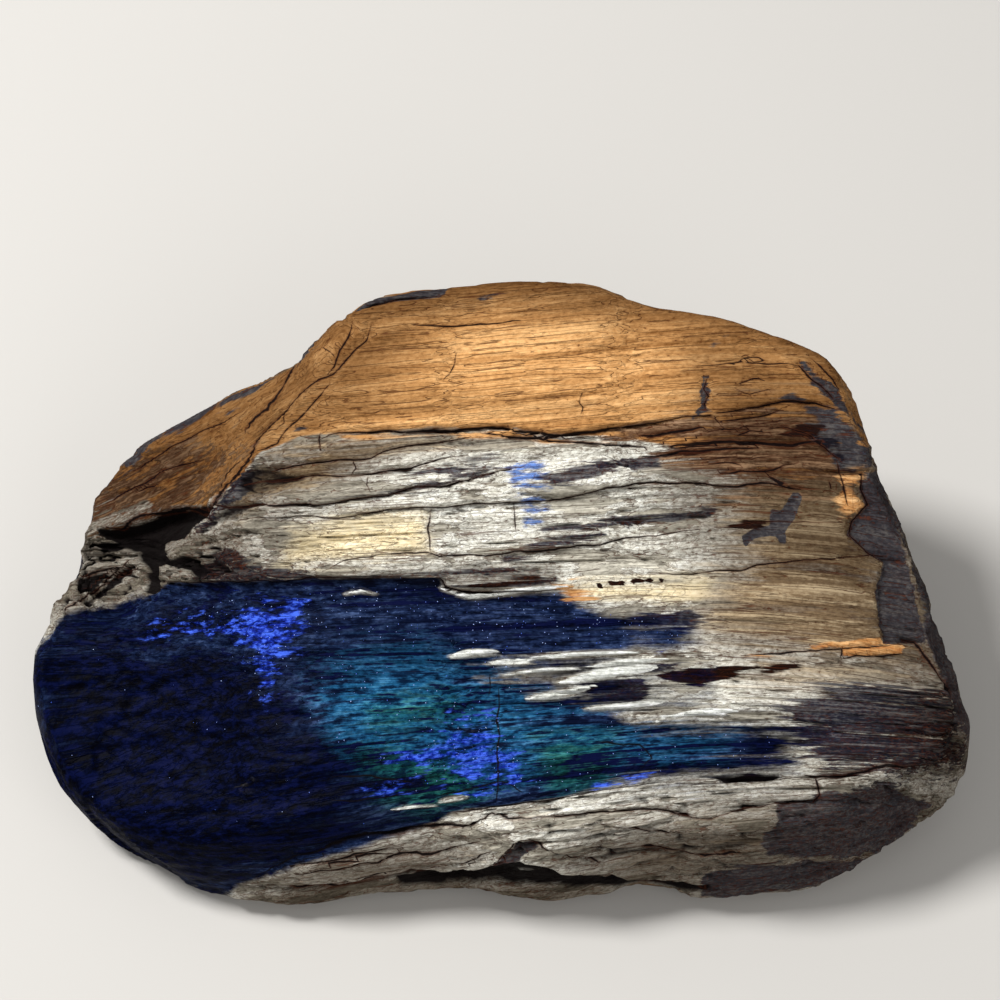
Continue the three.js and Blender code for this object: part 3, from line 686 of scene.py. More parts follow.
cutDepth = np.zeros(len(places))
for depth, width, groove, step, reach, line in seams:
    near, above, along = lineField(line, places)
    past = np.maximum(near - np.abs(above), 0.0)
    above = above + wobble
    rise = smooth(-cutting["stepEdge"], cutting["stepEdge"], above) * np.exp(-np.maximum(above, 0.0) / reach)
    height += step * rise * taper(along) * smooth(*cutting["stepEnd"], past) * seen
    across = np.exp(-((above / groove) ** 2)) * smooth(*cutting["grooveEnd"], past)
    cutDepth = np.maximum(cutDepth, cutting["grooveShare"] * depth * taper(along) * across * seen)
for depth, width, line in sum(cracks.values(), []):
    near, above, along = lineField(line, places)
    past = np.maximum(near - np.abs(above), 0.0)
    across = np.exp(-(((above + cutting["crackSway"] * wobble) / cutting["crackGroove"]) ** 2))
    cutDepth = np.maximum(cutDepth, depth * across * smooth(*cutting["grooveEnd"], past) * seen)
height -= cutDepth
print("cracks cut")

facets = {  # flat chips on the agate at the left end
    "size": (30.0, 17.0, 15.0),
    "tilt": 1.1,
    "height": 0.55,
    "from": (-28.0, -52.0),  # between these places along the grain they begin
}
flakeBeds = [  # crusty flakes round the deep hollow, and flatter ones on the low slab
    {"outline": [(60, 570), (80, 528), (106, 530), (150, 562), (215, 545), (226, 574), (150, 594), (60, 612)],
     "bit": (5.0, 2.1, 2.1), "tilt": 0.7, "height": 0.9, "gap": 0.7, "shade": 0.95},
    {"outline": [(470, 846), (560, 806), (640, 796), (800, 792), (800, 868), (700, 892), (600, 870),
                 (540, 856)],
     "bit": (10.0, 3.2, 3.4), "tilt": 0.6, "height": 0.4, "gap": 0.35, "shade": 0.45},
]
# broken-out places: depth, mm over which the side falls, how dark their painted shade is, and an outline in
# pixels of the photo
hollows = [
    (3.0, 0.8, 1.3, [(100, 531), (112, 532), (127, 528), (142, 524), (169, 514), (206, 505), (188, 522),
        (176, 534), (161, 545), (164, 561), (154, 567), (151, 586), (144, 588), (143, 566), (134, 553),
        (116, 543)]),
    (1.6, 0.5, 1.2, [(164, 558), (180, 556), (194, 562), (206, 574), (198, 581), (190, 570), (168, 564)]),
    (1.4, 0.5, 1.2, [(100, 545), (110, 543), (121, 550), (112, 554), (102, 552)]),
    (1.4, 0.5, 1.1, [(76, 577), (90, 575), (106, 574), (96, 586), (80, 594)]),
    (1.0, 0.4, 1.0, [(84, 604), (104, 588), (126, 568), (132, 566), (112, 586), (90, 606)]),
    (0.8, 0.8, 0.6, [(240, 480), (252, 466), (262, 468), (300, 477), (268, 488), (240, 494)]),
    (0.8, 0.8, 0.6, [(205, 516), (232, 500), (262, 503), (240, 514), (200, 530)]),
    (1.0, 0.6, 0.5, [(192, 560), (214, 556), (232, 572), (214, 580), (196, 574)]),
    (1.4, 0.6, 1.0, [(400, 884), (450, 876), (480, 869), (520, 862), (570, 875), (640, 884), (705, 892),
        (640, 894), (560, 887), (500, 880), (440, 886)]),
    (1.0, 0.6, 0.6, [(716, 772), (745, 767), (778, 771), (770, 779), (730, 780)]),
    (0.6, 0.35, 0.0, [(863, 474), (860, 489), (867, 503), (853, 520), (850, 534), (869, 553), (884, 562),
        (876, 585), (878, 615), (884, 643), (925, 643), (908, 560), (894, 500), (882, 472)]),
]
flakeEdge = {"bed": 1.5, "gap": (0.01, 0.14), "shade": (0.02, 0.12)}
hollowEdge = {"sway": 0.6, "shade": 1.4}

top = shards(points, facets["size"], facets["tilt"])[1]
height += facets["height"] * inAgate * smooth(*facets["from"], points[:, 0]) * top
# painted shade in the gaps between flakes and down the hollows' walls, where shadow falls
gapShade = np.zeros(len(places))
for bed in flakeBeds:
    share = smooth(-flakeEdge["bed"], flakeEdge["bed"], patchField(bed["outline"], places)) * seen
    inside, top = shards(layers, bed["bit"], bed["tilt"])
    height += share * (bed["height"] * top - bed["gap"] * (1.0 - smooth(*flakeEdge["gap"], inside)))
    gapShade = np.maximum(gapShade, bed["shade"] * share * (1.0 - smooth(*flakeEdge["shade"], inside)))
for depth, edge, shade, outline in hollows:
    field = patchField(outline, places) + hollowEdge["sway"] * wobble
    height -= depth * smooth(-edge, edge, field) * seen
    gapShade = np.maximum(gapShade, shade * smooth(-hollowEdge["shade"] * edge, 0.0, field) * seen)

standing = {  # mm that a zone stands up or lies lower, and where in its field that begins and ends
    "rind": (-0.25, 0.4, 0.8),
    "sliver": (0.4, -0.2, 0.4),
    "ochre": (0.3, 0.5, 0.8),
}
risen = {  # that field, and the share of it that counts
    "rind": (weights["rind"], 1.0 - inAgate),
    "sliver": (sliverField, 1.0),
    "ochre": (weights["ochre"], 1.0),
}
for zone, (rise, low, high) in standing.items():
    field, share = risen[zone]
    height += rise * smooth(low, high, field) * seen * share

free = smooth(*stone["flatBase"], points[:, 2])  # the resting face stays flat
fromTip = np.minimum(np.arange(stone["columns"]), np.arange(stone["columns"])[::-1])
free *= np.repeat(smooth(*stone["flatTips"], fromTip), stone["rows"])  # and the tips stay closed
height *= free
# how far each place lies below its blurred surroundings, later painted dark as shade in the grooves
cavitySpread = (4.0, 2.0)  # rows and columns
grid = height.reshape(rings.shape[:2])
cavityShade = blur(blur(grid, cavitySpread[0], 1, True), cavitySpread[1], 0, False).ravel() - height
skin = points + outward * height[:, None]
skin[:, 2] = np.maximum(skin[:, 2], 0.0)
print("relief laid:", round(float(height.min()), 2), "to", round(float(height.max()), 2), "mm")

hiddenZones = {  # on the sides that the photo doesn't show: level, spread, mm along and across, seed
    "tan": (0.45, 0.8, (90.0, 9.0, 9.0), 12),
    "rind": (0.25, 0.8, (70.0, 5.0, 5.0), 13),
    "khaki": (0.6, 0.8, (80.0, 8.0, 8.0), 14),
    "brown": (0.3, 0.9, (60.0, 6.0, 6.0), 15),
}
# the hidden sides get the same darkening, painted shade with some wear
hidden = {"deep": 1.0, "wearAndShade": 0.7}
for zone, (level, spread, size, seed) in hiddenZones.items():
    hidden[zone] = np.clip(level + spread * noiseAt(layers, size, seed), 0.0, 1.0)
hidden["tan"] = hidden["tan"] * smooth(0.0, 20.0, points[:, 1])  # only towards the back
pits = {  # a row of small holes painted dark as their shade, with no depth cut: their places in pixels of the photo, and half their size in mm
    "spots": [(600, 586), (614, 584), (622, 583), (634, 582), (641, 581), (650, 580), (662, 580)],
    "along": 0.9,
    "across": 0.45,
}
pitShade = np.zeros(len(places))
for spot in pits["spots"]:
    offset = (places - np.array(spot)) * view["pixelSize"]
    reach = np.hypot(offset[:, 0] / pits["along"], offset[:, 1] / pits["across"])
    pitShade = np.maximum(pitShade, 1.0 - smooth(0.5, 1.2, reach))

drawing = {  # how crack lines are drawn: share of their half width, share of the wobble that they follow
    "seam": (0.42, 1.0), "check": (1.0, 0.5), "ridge": (1.0, 0.5), "flank": (1.0, 0.5),
}
lineLimit = 30.0  # half widths
shownFrom = 0.3  # share of the photo's marks, from which lines are drawn


def drawnLines(lines, thickness, sway):  # the nearest line: half widths to its side, and past its end
    best = np.full(len(places), farAway)
    side = np.full(len(places), lineLimit)
    past = np.full(len(places), lineLimit)
    for depth, width, *others, line in lines:
        near, above, along = lineField(line, places)
        halfWidth = thickness * width * (0.35 + 0.65 * taper(along))
        closer = near / halfWidth < best
        best[closer] = (near / halfWidth)[closer]
        side[closer] = ((above + sway * wobble) / halfWidth)[closer]
        beyond = np.maximum(near - np.abs(above), near / 6.0)  # six half widths from the line it isn't drawn
        past[closer] = (beyond / halfWidth)[closer]
    past = np.where(seen > shownFrom, np.clip(past, 0.0, lineLimit), lineLimit)
    return np.clip(side, -lineLimit, lineLimit), past


marks = {zone: seen * weight + unseen * hidden.get(zone, 0.0) for zone, weight in weights.items()}
# the holes' painted shade is laid on with the stains
marks["stain"] = seen * np.maximum(weights["stain"], pitShade)
marks["druse"] = marks["druse"] * smooth(0.2, 1.0, agateField)
marks["agate"] = agateField
marks["sliver"] = np.where(seen > shownFrom, sliverShare, -2.0)
marks["cavityShade"] = cavityShade + gapShade
lineFamilies = {"seam": seams, **cracks}
for name, lines in lineFamilies.items():
    marks[name + "Side"], marks[name + "Past"] = drawnLines(lines, *drawing[name])
print("marks painted:", len(marks))


def buildMesh(name, vertices, faces):
    mesh = bpy.data.meshes.new(name)
    mesh.from_pydata((vertices * mm).tolist(), [], faces)
    mesh.validate()
    mesh.update()
    piece = bpy.data.objects.new(name, mesh)
    bpy.context.scene.collection.objects.link(piece)
    return piece


def skinFaces():
    columns, rows = stone["columns"], stone["rows"]
    faces = []
    for c in range(columns - 1):
        for r in range(rows):
            after = (r + 1) % rows
            faces.append((c * rows + r, c * rows + after, (c + 1) * rows + after, (c + 1) * rows + r))
    leftTip, rightTip = columns * rows, columns * rows + 1
    last = (columns - 1) * rows
    for r in range(rows):
        after = (r + 1) % rows
        faces.append((leftTip, after, r))
        faces.append((rightTip, last + r, last + after))
    return faces


def storeMarks(mesh, values, coordinates):
    for name, value in values.items():
        attribute = mesh.attributes.new(name, "FLOAT", "POINT")
        attribute.data.foreach_set("value", value.astype(np.float32))
    attribute = mesh.attributes.new("grain", "FLOAT_VECTOR", "POINT")
    attribute.data.foreach_set("vector", coordinates.astype(np.float32).ravel())


ringSize = stone["rows"]
tipPoints = np.array([skin[:ringSize].mean(axis=0), skin[-ringSize:].mean(axis=0)])
tipPoints[:, 0] = [tips[0][0], tips[1][0]]
allPoints = np.vstack([skin, tipPoints])
tipMarks = {name: [value[:ringSize].mean(), value[-ringSize:].mean()] for name, value in marks.items()}
allMarks = {name: np.concatenate([value, tipMarks[name]]) for name, value in marks.items()}
chunk = buildMesh("petrified_wood_skin", allPoints, skinFaces())
storeMarks(chunk.data, allMarks, stoneGrain(allPoints))
chunk.data.polygons.foreach_set("use_smooth", [True] * len(chunk.data.polygons))
chunk.data.set_sharp_from_angle(angle=math.radians(stone["crease"]))
print("skin built:", len(chunk.data.polygons), "faces")


def linear(hexColour):
    parts = [int(hexColour[k:k + 2], 16) / 255 for k in (1, 3, 5)]
    return [p / 12.92 if p <= 0.04045 else ((p + 0.055) / 1.055) ** 2.4 for p in parts] + [1.0]


def addNode(tree, kind, inputs=None, stops=None, output=None, **settings):  # gives back the output to link on
    node = tree.nodes.new(kind)
    for name, value in settings.items():
        setattr(node, name, value)
    for key, value in (inputs or {}).items():
        if isinstance(value, bpy.types.NodeSocket):
            tree.links.new(value, node.inputs[key])
        else:
            node.inputs[key].default_value = value
    for spot, (position, colour) in enumerate(stops or []):
        elements = node.color_ramp.elements
        element = elements[spot] if spot < 2 else elements.new(position)
        element.position = position
        element.color = linear(colour)
    if output:
        return node.outputs[output]
    return next((socket for socket in node.outputs if socket.enabled), None)


# silicified wood: split stone that keeps the wood's fibres, matt and streaked along the grain, with rusty
# cracks and dull grey rind; where it turned to agate it is dark, close-grained and has a waxy gloss
fossil = {
    "noises": {  # mm along and across the grain, detail
        "band": ((70.0, 3.0, 3.0), 2.0),
        "streak": ((32.0, 0.7, 0.7), 3.6),
        "crust": ((0.9, 0.5, 0.5), 3.0),
        "flake": ((16.0, 3.6, 3.6), 5.0),
        "mottle": ((3.4, 1.0, 1.0), 4.0),
        "hair": ((80.0, 1.0, 1.0), 1.5),
    },
    "noiseRoughness": 0.6,
    "thinLines": {  # cracks along the grain, and painted shadow along the crust's flaked rim: noise, level, half width, darkness
        "hair": ("hair", 0.50, 0.014, 0.75),
        "streak": ("streak", 0.53, 0.010, 0.26),
        "rim": ("flake", 0.45, 0.008, 0.60),
    },
    "plate": (1.6, 0.8, 0.8),  # mm, one plate of cracked crust
    "plateJitter": 1.6,
    "zones": {  # shares of band, streak, crust and mottle, half the tone's range, colours from dark to pale
        "bare": ((0.35, 0.45, 0.20, 0.0), 0.12, ["#463f37", "#a7a192", "#e2dccb"]),
        "crust": ((0.25, 0.25, 0.50, 0.0), 0.13, ["#8d877a", "#dcd9cc", "#fffff6"]),
        "yellow": ((0.25, 0.45, 0.30, 0.0), 0.13, ["#a79671", "#ecd9ae", "#fff2d0"]),
        "khaki": ((0.35, 0.45, 0.20, 0.0), 0.11, ["#4d3b2b", "#7c674d", "#b8a383"]),
        "tan": ((0.42, 0.30, 0.28, 0.0), 0.13, ["#8a5c30", "#c8935b", "#f3be80"]),
        "brown": ((0.30, 0.50, 0.20, 0.0), 0.10, ["#2c160c", "#664a35", "#a58465"]),
        "darkWoodAndShade": ((0.25, 0.50, 0.25, 0.0), 0.12, ["#090911", "#282832", "#6f6d6c"]),
        "rind": ((0.30, 0.20, 0.50, 0.0), 0.17, ["#1d1c20", "#363437", "#595552"]),
        "ochre": ((0.30, 0.45, 0.25, 0.0), 0.13, ["#7c3d1a", "#b9824d", "#dcb07c"]),
        "navy": ((0.10, 0.28, 0.17, 0.45), 0.065, ["#040b22", "#1a2848", "#455880"]),
        "deep": ((0.10, 0.28, 0.17, 0.45), 0.065, ["#000004", "#000318", "#050b2e"]),
        "teal": ((0.10, 0.28, 0.17, 0.45), 0.065, ["#062a48", "#1e5e88", "#4a92be"]),
        "green": ((0.10, 0.28, 0.17, 0.45), 0.065, ["#041b20", "#17544f", "#449082"]),
        # painted reflection: the lamp's blue glints on the agate
        "paintedGlint": ((0.00, 0.15, 0.40, 0.45), 0.075, ["#010a42", "#122892", "#4164dc"]),
        "sliver": ((0.10, 0.50, 0.40, 0.0), 0.13, ["#8f8f88", "#d9dad2", "#ffffff"]),
    },
    "onWood": ("yellow", "khaki", "tan", "brown", "darkWoodAndShade"),  # laid over the pale wood in this order
    "inAgate": ("teal", "green", "deep", "paintedGlint"),  # laid over the navy in this order
    "edges": {  # how far streaks, and flakes or mottling, push a zone's edge, and the range that is cut
        "yellow": (1.0, 0.5, 0.20, 0.90), "khaki": (0.9, 0.6, 0.15, 0.95), "tan": (0.4, 0.9, 0.40, 0.62),
        "brown": (2.2, 1.0, 0.25, 0.75), "darkWoodAndShade": (1.8, 0.8, 0.40, 0.75), "rind": (0.4, 1.2, 0.44, 0.56),
        "ochre": (1.4, 1.0, 0.30, 0.65), "stain": (1.3, 0.9, 0.42, 0.62), "agate": (3.5, 4.0, -1.40, 1.40),
        "deep": (2.4, 1.8, 0.25, 0.85), "teal": (2.2, 1.4, 0.20, 1.00), "green": (1.8, 1.4, 0.25, 1.10),
        "paintedGlint": (1.4, 2.4, 0.45, 1.05),
    },
    "spans": {  # where a value begins and ends to show, and how much it then shows
        "present": (0.0, 0.12, 1.0), "flaked": (0.44, 0.47, 1.0), "crackle": (0.08, 0.01, 0.5),
        "pit": (0.34, 0.28, 0.7), "sliver": (-0.10, 0.30, 1.0), "cavityShade": (0.20, 1.0, 0.98),
        "halo": (2.6, 0.9, 0.6), "crack": (1.1, 0.6, 0.95),
    },
    "sliverPush": 1.8,  # how far streaks push the edges of slivers and of crack lines
    "crackPush": 2.0,
    "plainCrackle": 0.15,  # share of the crackle that tan and khaki wood keeps
    "paints": {
        # crevice: painted shade in grooves, hollows and cracks
        "stain": "#1b0f0c", "rust": "#4a2413", "creviceShade": "#0f0b0c", "agateLine": "#01030b",
        # worn: the tint of the painted shade and wear towards the rim
        "worn": "#827b74", "paintedGlintTint": "#6f94e6",
    # paintedGlintTint: the tint of the painted blue reflection on the wood
    },
    "roughness": (0.85, 0.5),  # wood, agate
    "grip": (1.0, 0.6),  # how much bump wood and agate have
    "bump": 0.16,  # mm
    "crustBump": 0.7,
    "ior": 1.54,
    "specular": 0.02,
}


def span(name):  # inputs of a Map Range node
    low, high, most = fossil["spans"][name]
    return {"From Min": low, "From Max": high, "To Max": most}


def fossilMaterial():
    material = bpy.data.materials.new("silicifiedWood")
    material.use_nodes = True
    tree = material.node_tree
    tree.nodes.clear()
    mark = {name: addNode(tree, "ShaderNodeAttribute", output="Fac", attribute_name=name) for name in marks}
    place = addNode(tree, "ShaderNodeAttribute", output="Vector", attribute_name="grain")
    paint = {name: linear(colour) for name, colour in fossil["paints"].items()}
    pattern = {}
    for name, (size, detail) in fossil["noises"].items():
        stretched = addNode(tree, "ShaderNodeMapping", {"Vector": place, "Scale": [1.0 / s for s in size]})
        pattern[name] = addNode(tree, "ShaderNodeTexNoise", {
            "Vector": stretched, "Scale": 1.0, "Detail": detail, "Roughness": fossil["noiseRoughness"]},
            output="Fac")

    # ragged edges: each zone is pushed by streaks before it is cut
    ragged = addNode(tree, "ShaderNodeMath", {0: pattern["streak"], 1: pattern["band"]})
    ragged = addNode(tree, "ShaderNodeMath", {0: ragged, 1: 1.0}, operation="SUBTRACT")
    cut = {}
    for name, (push, tear, low, high) in fossil["edges"].items():
        tearing = pattern["mottle"] if name in fossil["inAgate"] else pattern["flake"]
        torn = addNode(tree, "ShaderNodeMath", {0: tearing, 1: 0.5}, operation="SUBTRACT")
        pushed = mark[name]
        for streaks, amount in ((ragged, push), (torn, tear)):
            pushed = addNode(tree, "ShaderNodeMath", {0: streaks, 1: amount, 2: pushed},
                             operation="MULTIPLY_ADD")
        cut[name] = addNode(tree, "ShaderNodeMapRange", {"Value": pushed, "From Min": low, "From Max": high},
                            interpolation_type="SMOOTHSTEP")
        if name != "agate":
            present = addNode(tree, "ShaderNodeMapRange", {"Value": mark[name], **span("present")})
            cut[name] = addNode(tree, "ShaderNodeMath", {0: cut[name], 1: present}, operation="MULTIPLY")

    colours = {}
    for name, (shares, half, (dark, middle, pale)) in fossil["zones"].items():
        tone = None
        for part, share in zip(("band", "streak", "crust", "mottle"), shares):
            if share == 0.0:
                continue
            inputs = {0: pattern[part], 1: share}
            if tone:
                inputs[2] = tone
            tone = addNode(tree, "ShaderNodeMath", inputs, operation="MULTIPLY_ADD" if tone else "MULTIPLY")
        tone = addNode(tree, "ShaderNodeMapRange", {
            "Value": tone, "From Min": 0.5 - half, "From Max": 0.5 + half})
        colours[name] = addNode(tree, "ShaderNodeValToRGB", {"Fac": tone},
                                stops=[(0.0, dark), (1.0, pale), (0.5, middle)])

    # pale crust that has flaked off in places with a painted shadow along its rim, cracked into small plates,
    # and thin cracks that come and go
    flaked = addNode(tree, "ShaderNodeMapRange", {"Value": pattern["flake"], **span("flaked")})
    thin = {}
    for name, (noiseName, level, width, darkness) in fossil["thinLines"].items():
        line = addNode(tree, "ShaderNodeMath", {0: pattern[noiseName], 1: level}, operation="SUBTRACT")
        line = addNode(tree, "ShaderNodeMath", {0: line}, operation="ABSOLUTE")
        thin[name] = addNode(tree, "ShaderNodeMapRange", {
            "Value": line, "From Min": width, "From Max": 0.25 * width, "To Max": darkness})
    lines = addNode(tree, "ShaderNodeMath", {0: thin["hair"], 1: thin["streak"]}, operation="MAXIMUM")
    jitter = addNode(tree, "ShaderNodeMath", {0: pattern["crust"], 1: fossil["plateJitter"]},
                     operation="MULTIPLY")
    plateScale = [1.0 / s for s in fossil["plate"]]
    plates = addNode(tree, "ShaderNodeMapping", {"Vector": place, "Scale": plateScale})
    plates = addNode(tree, "ShaderNodeVectorMath", {0: plates, 1: jitter})
    edge = addNode(tree, "ShaderNodeTexVoronoi", {"Vector": plates, "Scale": 1.0}, feature="DISTANCE_TO_EDGE")
    crackle = addNode(tree, "ShaderNodeMapRange", {"Value": edge, **span("crackle")})
    crackle = addNode(tree, "ShaderNodeMath", {0: crackle, 1: flaked}, operation="MULTIPLY")
    # the crust's flaked rim gets a thin line of painted shadow
    crackle = addNode(tree, "ShaderNodeMath", {0: crackle, 1: thin["rim"]}, operation="MAXIMUM")
    plain = addNode(tree, "ShaderNodeMath", {0: cut["tan"], 1: cut["khaki"]}, operation="MAXIMUM")
    plain = addNode(tree, "ShaderNodeMapRange", {
        "Value": plain, "To Min": 1.0, "To Max": fossil["plainCrackle"]})
    crackle = addNode(tree, "ShaderNodeMath", {0: crackle, 1: plain}, operation="MULTIPLY")
    pit = addNode(tree, "ShaderNodeMapRange", {"Value": pattern["crust"], **span("pit")})
    marked = addNode(tree, "ShaderNodeMath", {0: lines, 1: crackle}, operation="MAXIMUM")
    marked = addNode(tree, "ShaderNodeMath", {0: marked, 1: pit}, operation="MAXIMUM")

    # white slivers lie over the agate
    sliver = addNode(tree, "ShaderNodeMath", {0: ragged, 1: fossil["sliverPush"], 2: mark["sliver"]},
                     operation="MULTIPLY_ADD")
    sliver = addNode(tree, "ShaderNodeMapRange", {"Value": sliver, **span("sliver")})

    # grooves and hollows get painted shade, which also stands for dark dirt in them; drawn cracks have a
    # rusty edge and a middle of painted shade, and are finer than the mesh
    hollowShade = addNode(tree, "ShaderNodeMapRange", {"Value": mark["cavityShade"], **span("cavityShade")})
    rusty = addNode(tree, "ShaderNodeMix", {0: cut["agate"], 6: paint["rust"], 7: paint["creviceShade"]},
                    data_type="RGBA")
    across = None
    for name in lineFamilies:
        side = addNode(tree, "ShaderNodeMath", {0: mark[name + "Side"]}, operation="ABSOLUTE")
        side = addNode(tree, "ShaderNodeMath", {0: side, 1: mark[name + "Past"]}, operation="MAXIMUM")
        if across:
            side = addNode(tree, "ShaderNodeMath", {0: across, 1: side}, operation="MINIMUM")
        across = side
    across = addNode(tree, "ShaderNodeMath", {0: ragged, 1: fossil["crackPush"], 2: across},
                     operation="MULTIPLY_ADD")
    halo = addNode(tree, "ShaderNodeMapRange", {"Value": across, **span("halo")})
    # the cracks' dark middle is painted shade
    crack = addNode(tree, "ShaderNodeMapRange", {"Value": across, **span("crack")})

    # the colours, each laid over the ones before it: its share, the colour, and how it is laid on
    woodCoats = [(flaked, colours["crust"], "MIX")]
    woodCoats += [(cut[name], colours[name], "MIX") for name in fossil["onWood"]]
    woodCoats += [
        # the rim's darkening multiplies in painted shade with some wear
        (mark["wearAndShade"], paint["worn"], "MULTIPLY"), (cut["rind"], colours["rind"], "MIX"),
        # the blue patches on the wood multiply in a painted reflection of the lamp
        (cut["paintedGlint"], paint["paintedGlintTint"], "MULTIPLY"), (cut["stain"], paint["stain"], "MIX"),
        (marked, paint["rust"], "MIX")]
    darkCoats = [(cut[name], colours[name], "MIX") for name in fossil["inAgate"]]
    darkCoats += [(lines, paint["agateLine"], "MIX")]
    dark = colours["navy"]
    for share, coat, blend in darkCoats:
        dark = addNode(tree, "ShaderNodeMix", {0: share, 6: dark, 7: coat},
                       data_type="RGBA", blend_type=blend)
    topCoats = [
        (cut["agate"], dark, "MIX"), (cut["ochre"], colours["ochre"], "MIX"),
        (sliver, colours["sliver"], "MIX"), (hollowShade, paint["creviceShade"], "MIX"),
        (halo, rusty, "MIX"), (crack, paint["creviceShade"], "MIX")]
    colour = colours["bare"]
    for share, coat, blend in woodCoats + topCoats:
        colour = addNode(tree, "ShaderNodeMix", {0: share, 6: colour, 7: coat},
                         data_type="RGBA", blend_type=blend)

    onWood, onDark = fossil["roughness"]
    rough = addNode(tree, "ShaderNodeMapRange", {"Value": cut["agate"], "To Min": onWood, "To Max": onDark})
    onWood, onDark = fossil["grip"]
    grip = addNode(tree, "ShaderNodeMapRange", {"Value": cut["agate"], "To Min": onWood, "To Max": onDark})
    raised = addNode(tree, "ShaderNodeMath", {0: pattern["crust"], 1: pattern["streak"]})
    raised = addNode(tree, "ShaderNodeMath", {0: raised, 1: lines}, operation="SUBTRACT")
    raised = addNode(tree, "ShaderNodeMath", {0: flaked, 1: fossil["crustBump"], 2: raised},
                     operation="MULTIPLY_ADD")
    raised = addNode(tree, "ShaderNodeMath", {0: raised, 1: grip}, operation="MULTIPLY")
    bump = addNode(tree, "ShaderNodeBump", {
        "Strength": 1.0, "Distance": fossil["bump"] * mm, "Height": raised})
    shader = addNode(tree, "ShaderNodeBsdfPrincipled", {
        "Base Color": colour, "Roughness": rough, "Normal": bump, "IOR": fossil["ior"],
        "Specular IOR Level": fossil["specular"]})
    addNode(tree, "ShaderNodeOutputMaterial", {"Surface": shader})
    return material


chunk.data.materials.append(fossilMaterial())
print("wood material made")

# quartz: tiny clear-edged crystals that line the agate and catch the light; their blue is a painted
# reflection of the lamp's glints
quartz = {
    "density": 0.9,  # grains to a square mm where they are thickest
    "apart": 0.3,
    "size": (0.02, 0.095),  # mm, radius
    # blue tints that paint the lamp's reflection into the grains
    "dark": "#2f58d0",
    "pale": "#b4caff",
    "patch": 2.0,  # mm
    "roughness": 0.2,
    "ior": 1.54,
    "seed": 5,
}


def quartzMaterial():
    material = bpy.data.materials.new("quartz")
    material.use_nodes = True
    tree = material.node_tree
    tree.nodes.clear()
    place = addNode(tree, "ShaderNodeTexCoord", output="Object")
    cloud = addNode(tree, "ShaderNodeTexNoise", {"Vector": place, "Scale": 1.0 / (quartz["patch"] * mm)},
                    output="Fac")
    colour = addNode(tree, "ShaderNodeValToRGB", {"Fac": cloud},
                     stops=[(0.35, quartz["dark"]), (0.65, quartz["pale"])])
    shader = addNode(tree, "ShaderNodeBsdfPrincipled", {
        "Base Color": colour, "Roughness": quartz["roughness"], "IOR": quartz["ior"]})
    addNode(tree, "ShaderNodeOutputMaterial", {"Surface": shader})
    return material


def quartzTree():
    tree = bpy.data.node_groups.new("quartzGrains", "GeometryNodeTree")
    tree.interface.new_socket("Skin", in_out="INPUT", socket_type="NodeSocketGeometry")
    for name in ("Density", "Apart", "Smallest", "Largest"):
        tree.interface.new_socket(name, in_out="INPUT", socket_type="NodeSocketFloat")
    tree.interface.new_socket("Seed", in_out="INPUT", socket_type="NodeSocketInt")
    tree.interface.new_socket("Material", in_out="INPUT", socket_type="NodeSocketMaterial")
    tree.interface.new_socket("Grains", in_out="OUTPUT", socket_type="NodeSocketGeometry")
    given = tree.nodes.new("NodeGroupInput").outputs
    druse = addNode(tree, "GeometryNodeInputNamedAttribute", {"Name": "druse"}, data_type="FLOAT")
    spots = addNode(tree, "GeometryNodeDistributePointsOnFaces", {
        "Mesh": given["Skin"], "Distance Min": given["Apart"], "Density Max": given["Density"],
        "Density Factor": druse, "Seed": given["Seed"]}, distribute_method="POISSON")
    crystal = addNode(tree, "GeometryNodeMeshIcoSphere", {"Radius": 1.0, "Subdivisions": 1})
    size = addNode(tree, "FunctionNodeRandomValue", {
        2: given["Smallest"], 3: given["Largest"], "Seed": given["Seed"]}, data_type="FLOAT")
    turn = addNode(tree, "FunctionNodeRandomValue", {
        0: (0.0, 0.0, 0.0), 1: (math.tau, math.tau, math.tau), "Seed": given["Seed"]},
        data_type="FLOAT_VECTOR")
    grains = addNode(tree, "GeometryNodeInstanceOnPoints", {
        "Points": spots, "Instance": crystal, "Rotation": turn, "Scale": size})
    grains = addNode(tree, "GeometryNodeRealizeInstances", {"Geometry": grains})
    grains = addNode(tree, "GeometryNodeSetMaterial", {"Geometry": grains, "Material": given["Material"]})
    addNode(tree, "NodeGroupOutput", {"Grains": grains})
    return tree


def growQuartz():
    host = bpy.data.objects.new("quartz_host", chunk.data)
    bpy.context.scene.collection.objects.link(host)
    modifier = host.modifiers.new("quartzGrains", "NODES")
    modifier.node_group = quartzTree()
    values = {
        "Density": quartz["density"] / mm**2, "Apart": quartz["apart"] * mm,
        "Smallest": quartz["size"][0] * mm, "Largest": quartz["size"][1] * mm,
        "Seed": quartz["seed"], "Material": quartzMaterial()}
    for item in modifier.node_group.interface.items_tree:
        if item.name in values:
            modifier[item.identifier] = values[item.name]
    evaluated = host.evaluated_get(bpy.context.evaluated_depsgraph_get())
    mesh = bpy.data.meshes.new_from_object(evaluated)
    bpy.data.objects.remove(host)
    grains = bpy.data.objects.new("quartz_grains", mesh)
    bpy.context.scene.collection.objects.link(grains)
    return grains


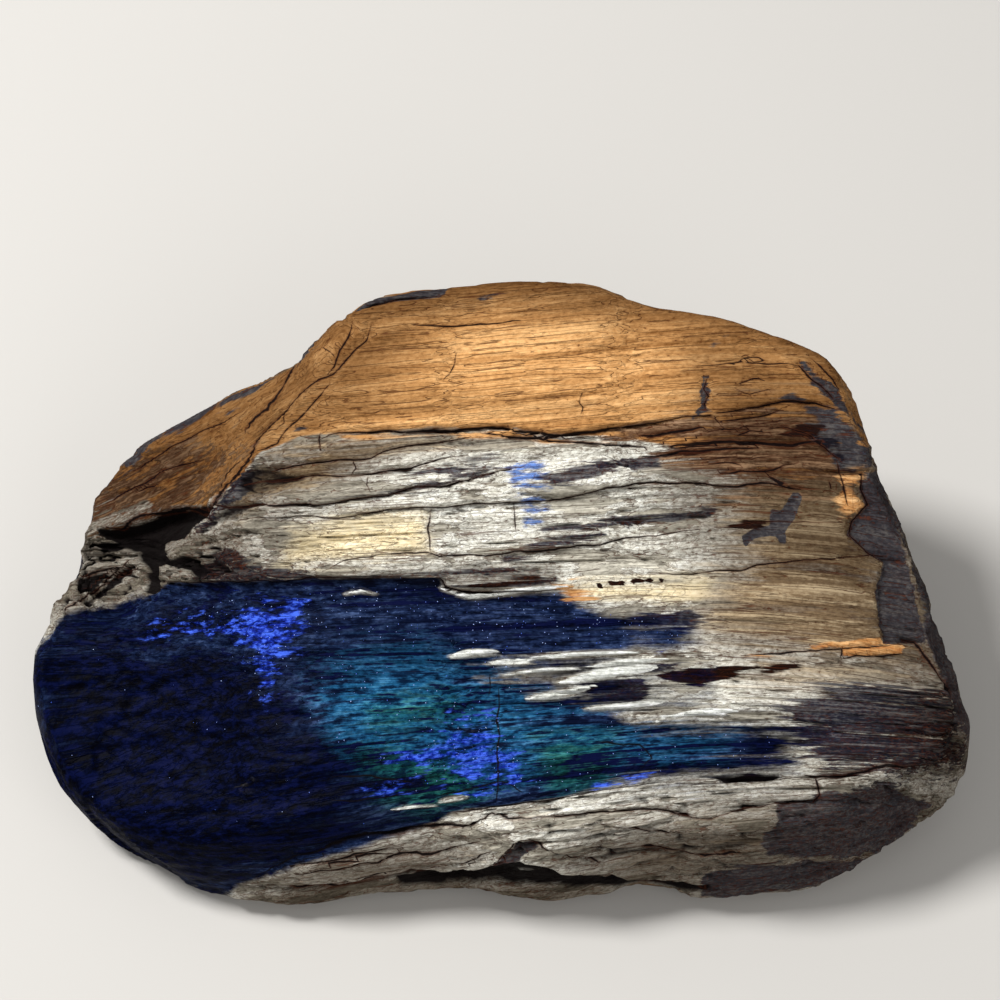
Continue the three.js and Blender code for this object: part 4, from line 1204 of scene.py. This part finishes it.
grains = growQuartz()
print("quartz grown:", len(grains.data.polygons), "faces")

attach(chunk, "root")
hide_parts(stone["node"])
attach(grains, "root")

# plain studio: a pale floor, one soft key from the upper left, a wide fill and a dim room
studio = {
    "floor": 3.0,  # metres across
    "floorColour": "#c2bfba",
    "floorRoughness": 0.9,
    "room": 0.36,
    "key": {"at": (-0.45, 0.13, 0.77), "size": 0.24, "power": 9.5},
    "fill": {"at": (0.5, -0.7, 0.6), "size": 0.9, "power": 2.9},
}


def studioFloor():
    half = studio["floor"] / 2 / mm
    corners = np.array([(-half, -half, 0.0), (half, -half, 0.0), (half, half, 0.0), (-half, half, 0.0)])
    floor = buildMesh("floor", corners, [(0, 1, 2, 3)])
    material = bpy.data.materials.new("paleFloor")
    material.use_nodes = True
    shader = material.node_tree.nodes["Principled BSDF"]
    shader.inputs["Base Color"].default_value = linear(studio["floorColour"])
    shader.inputs["Roughness"].default_value = studio["floorRoughness"]
    floor.data.materials.append(material)


def studioLight(name):
    settings = studio[name]
    lamp = bpy.data.lights.new(name, "AREA")
    lamp.shape = "DISK"
    lamp.size = settings["size"]
    lamp.energy = settings["power"]
    holder = bpy.data.objects.new(name, lamp)
    holder.location = settings["at"]
    holder.rotation_euler = (-Vector(settings["at"])).to_track_quat("-Z", "Y").to_euler()
    bpy.context.scene.collection.objects.link(holder)


studioFloor()
studioLight("key")
studioLight("fill")
scene = bpy.context.scene
scene.world = bpy.data.worlds.new("room")
scene.world.use_nodes = True
room = scene.world.node_tree.nodes["Background"]
room.inputs["Strength"].default_value = studio["room"]
room.inputs["Color"].default_value = (1.0, 1.0, 1.0, 1.0)
scene.view_settings.view_transform = "Standard"

camera = bpy.data.objects.new("camera", bpy.data.cameras.new("camera"))
camera.data.lens = view["lens"]
camera.data.sensor_width = view["sensor"]
camera.location = Vector(eye) * mm
camera.rotation_euler = Vector(-viewBack).to_track_quat("-Z", "Y").to_euler()
scene.collection.objects.link(camera)
scene.camera = camera
print("studio set")
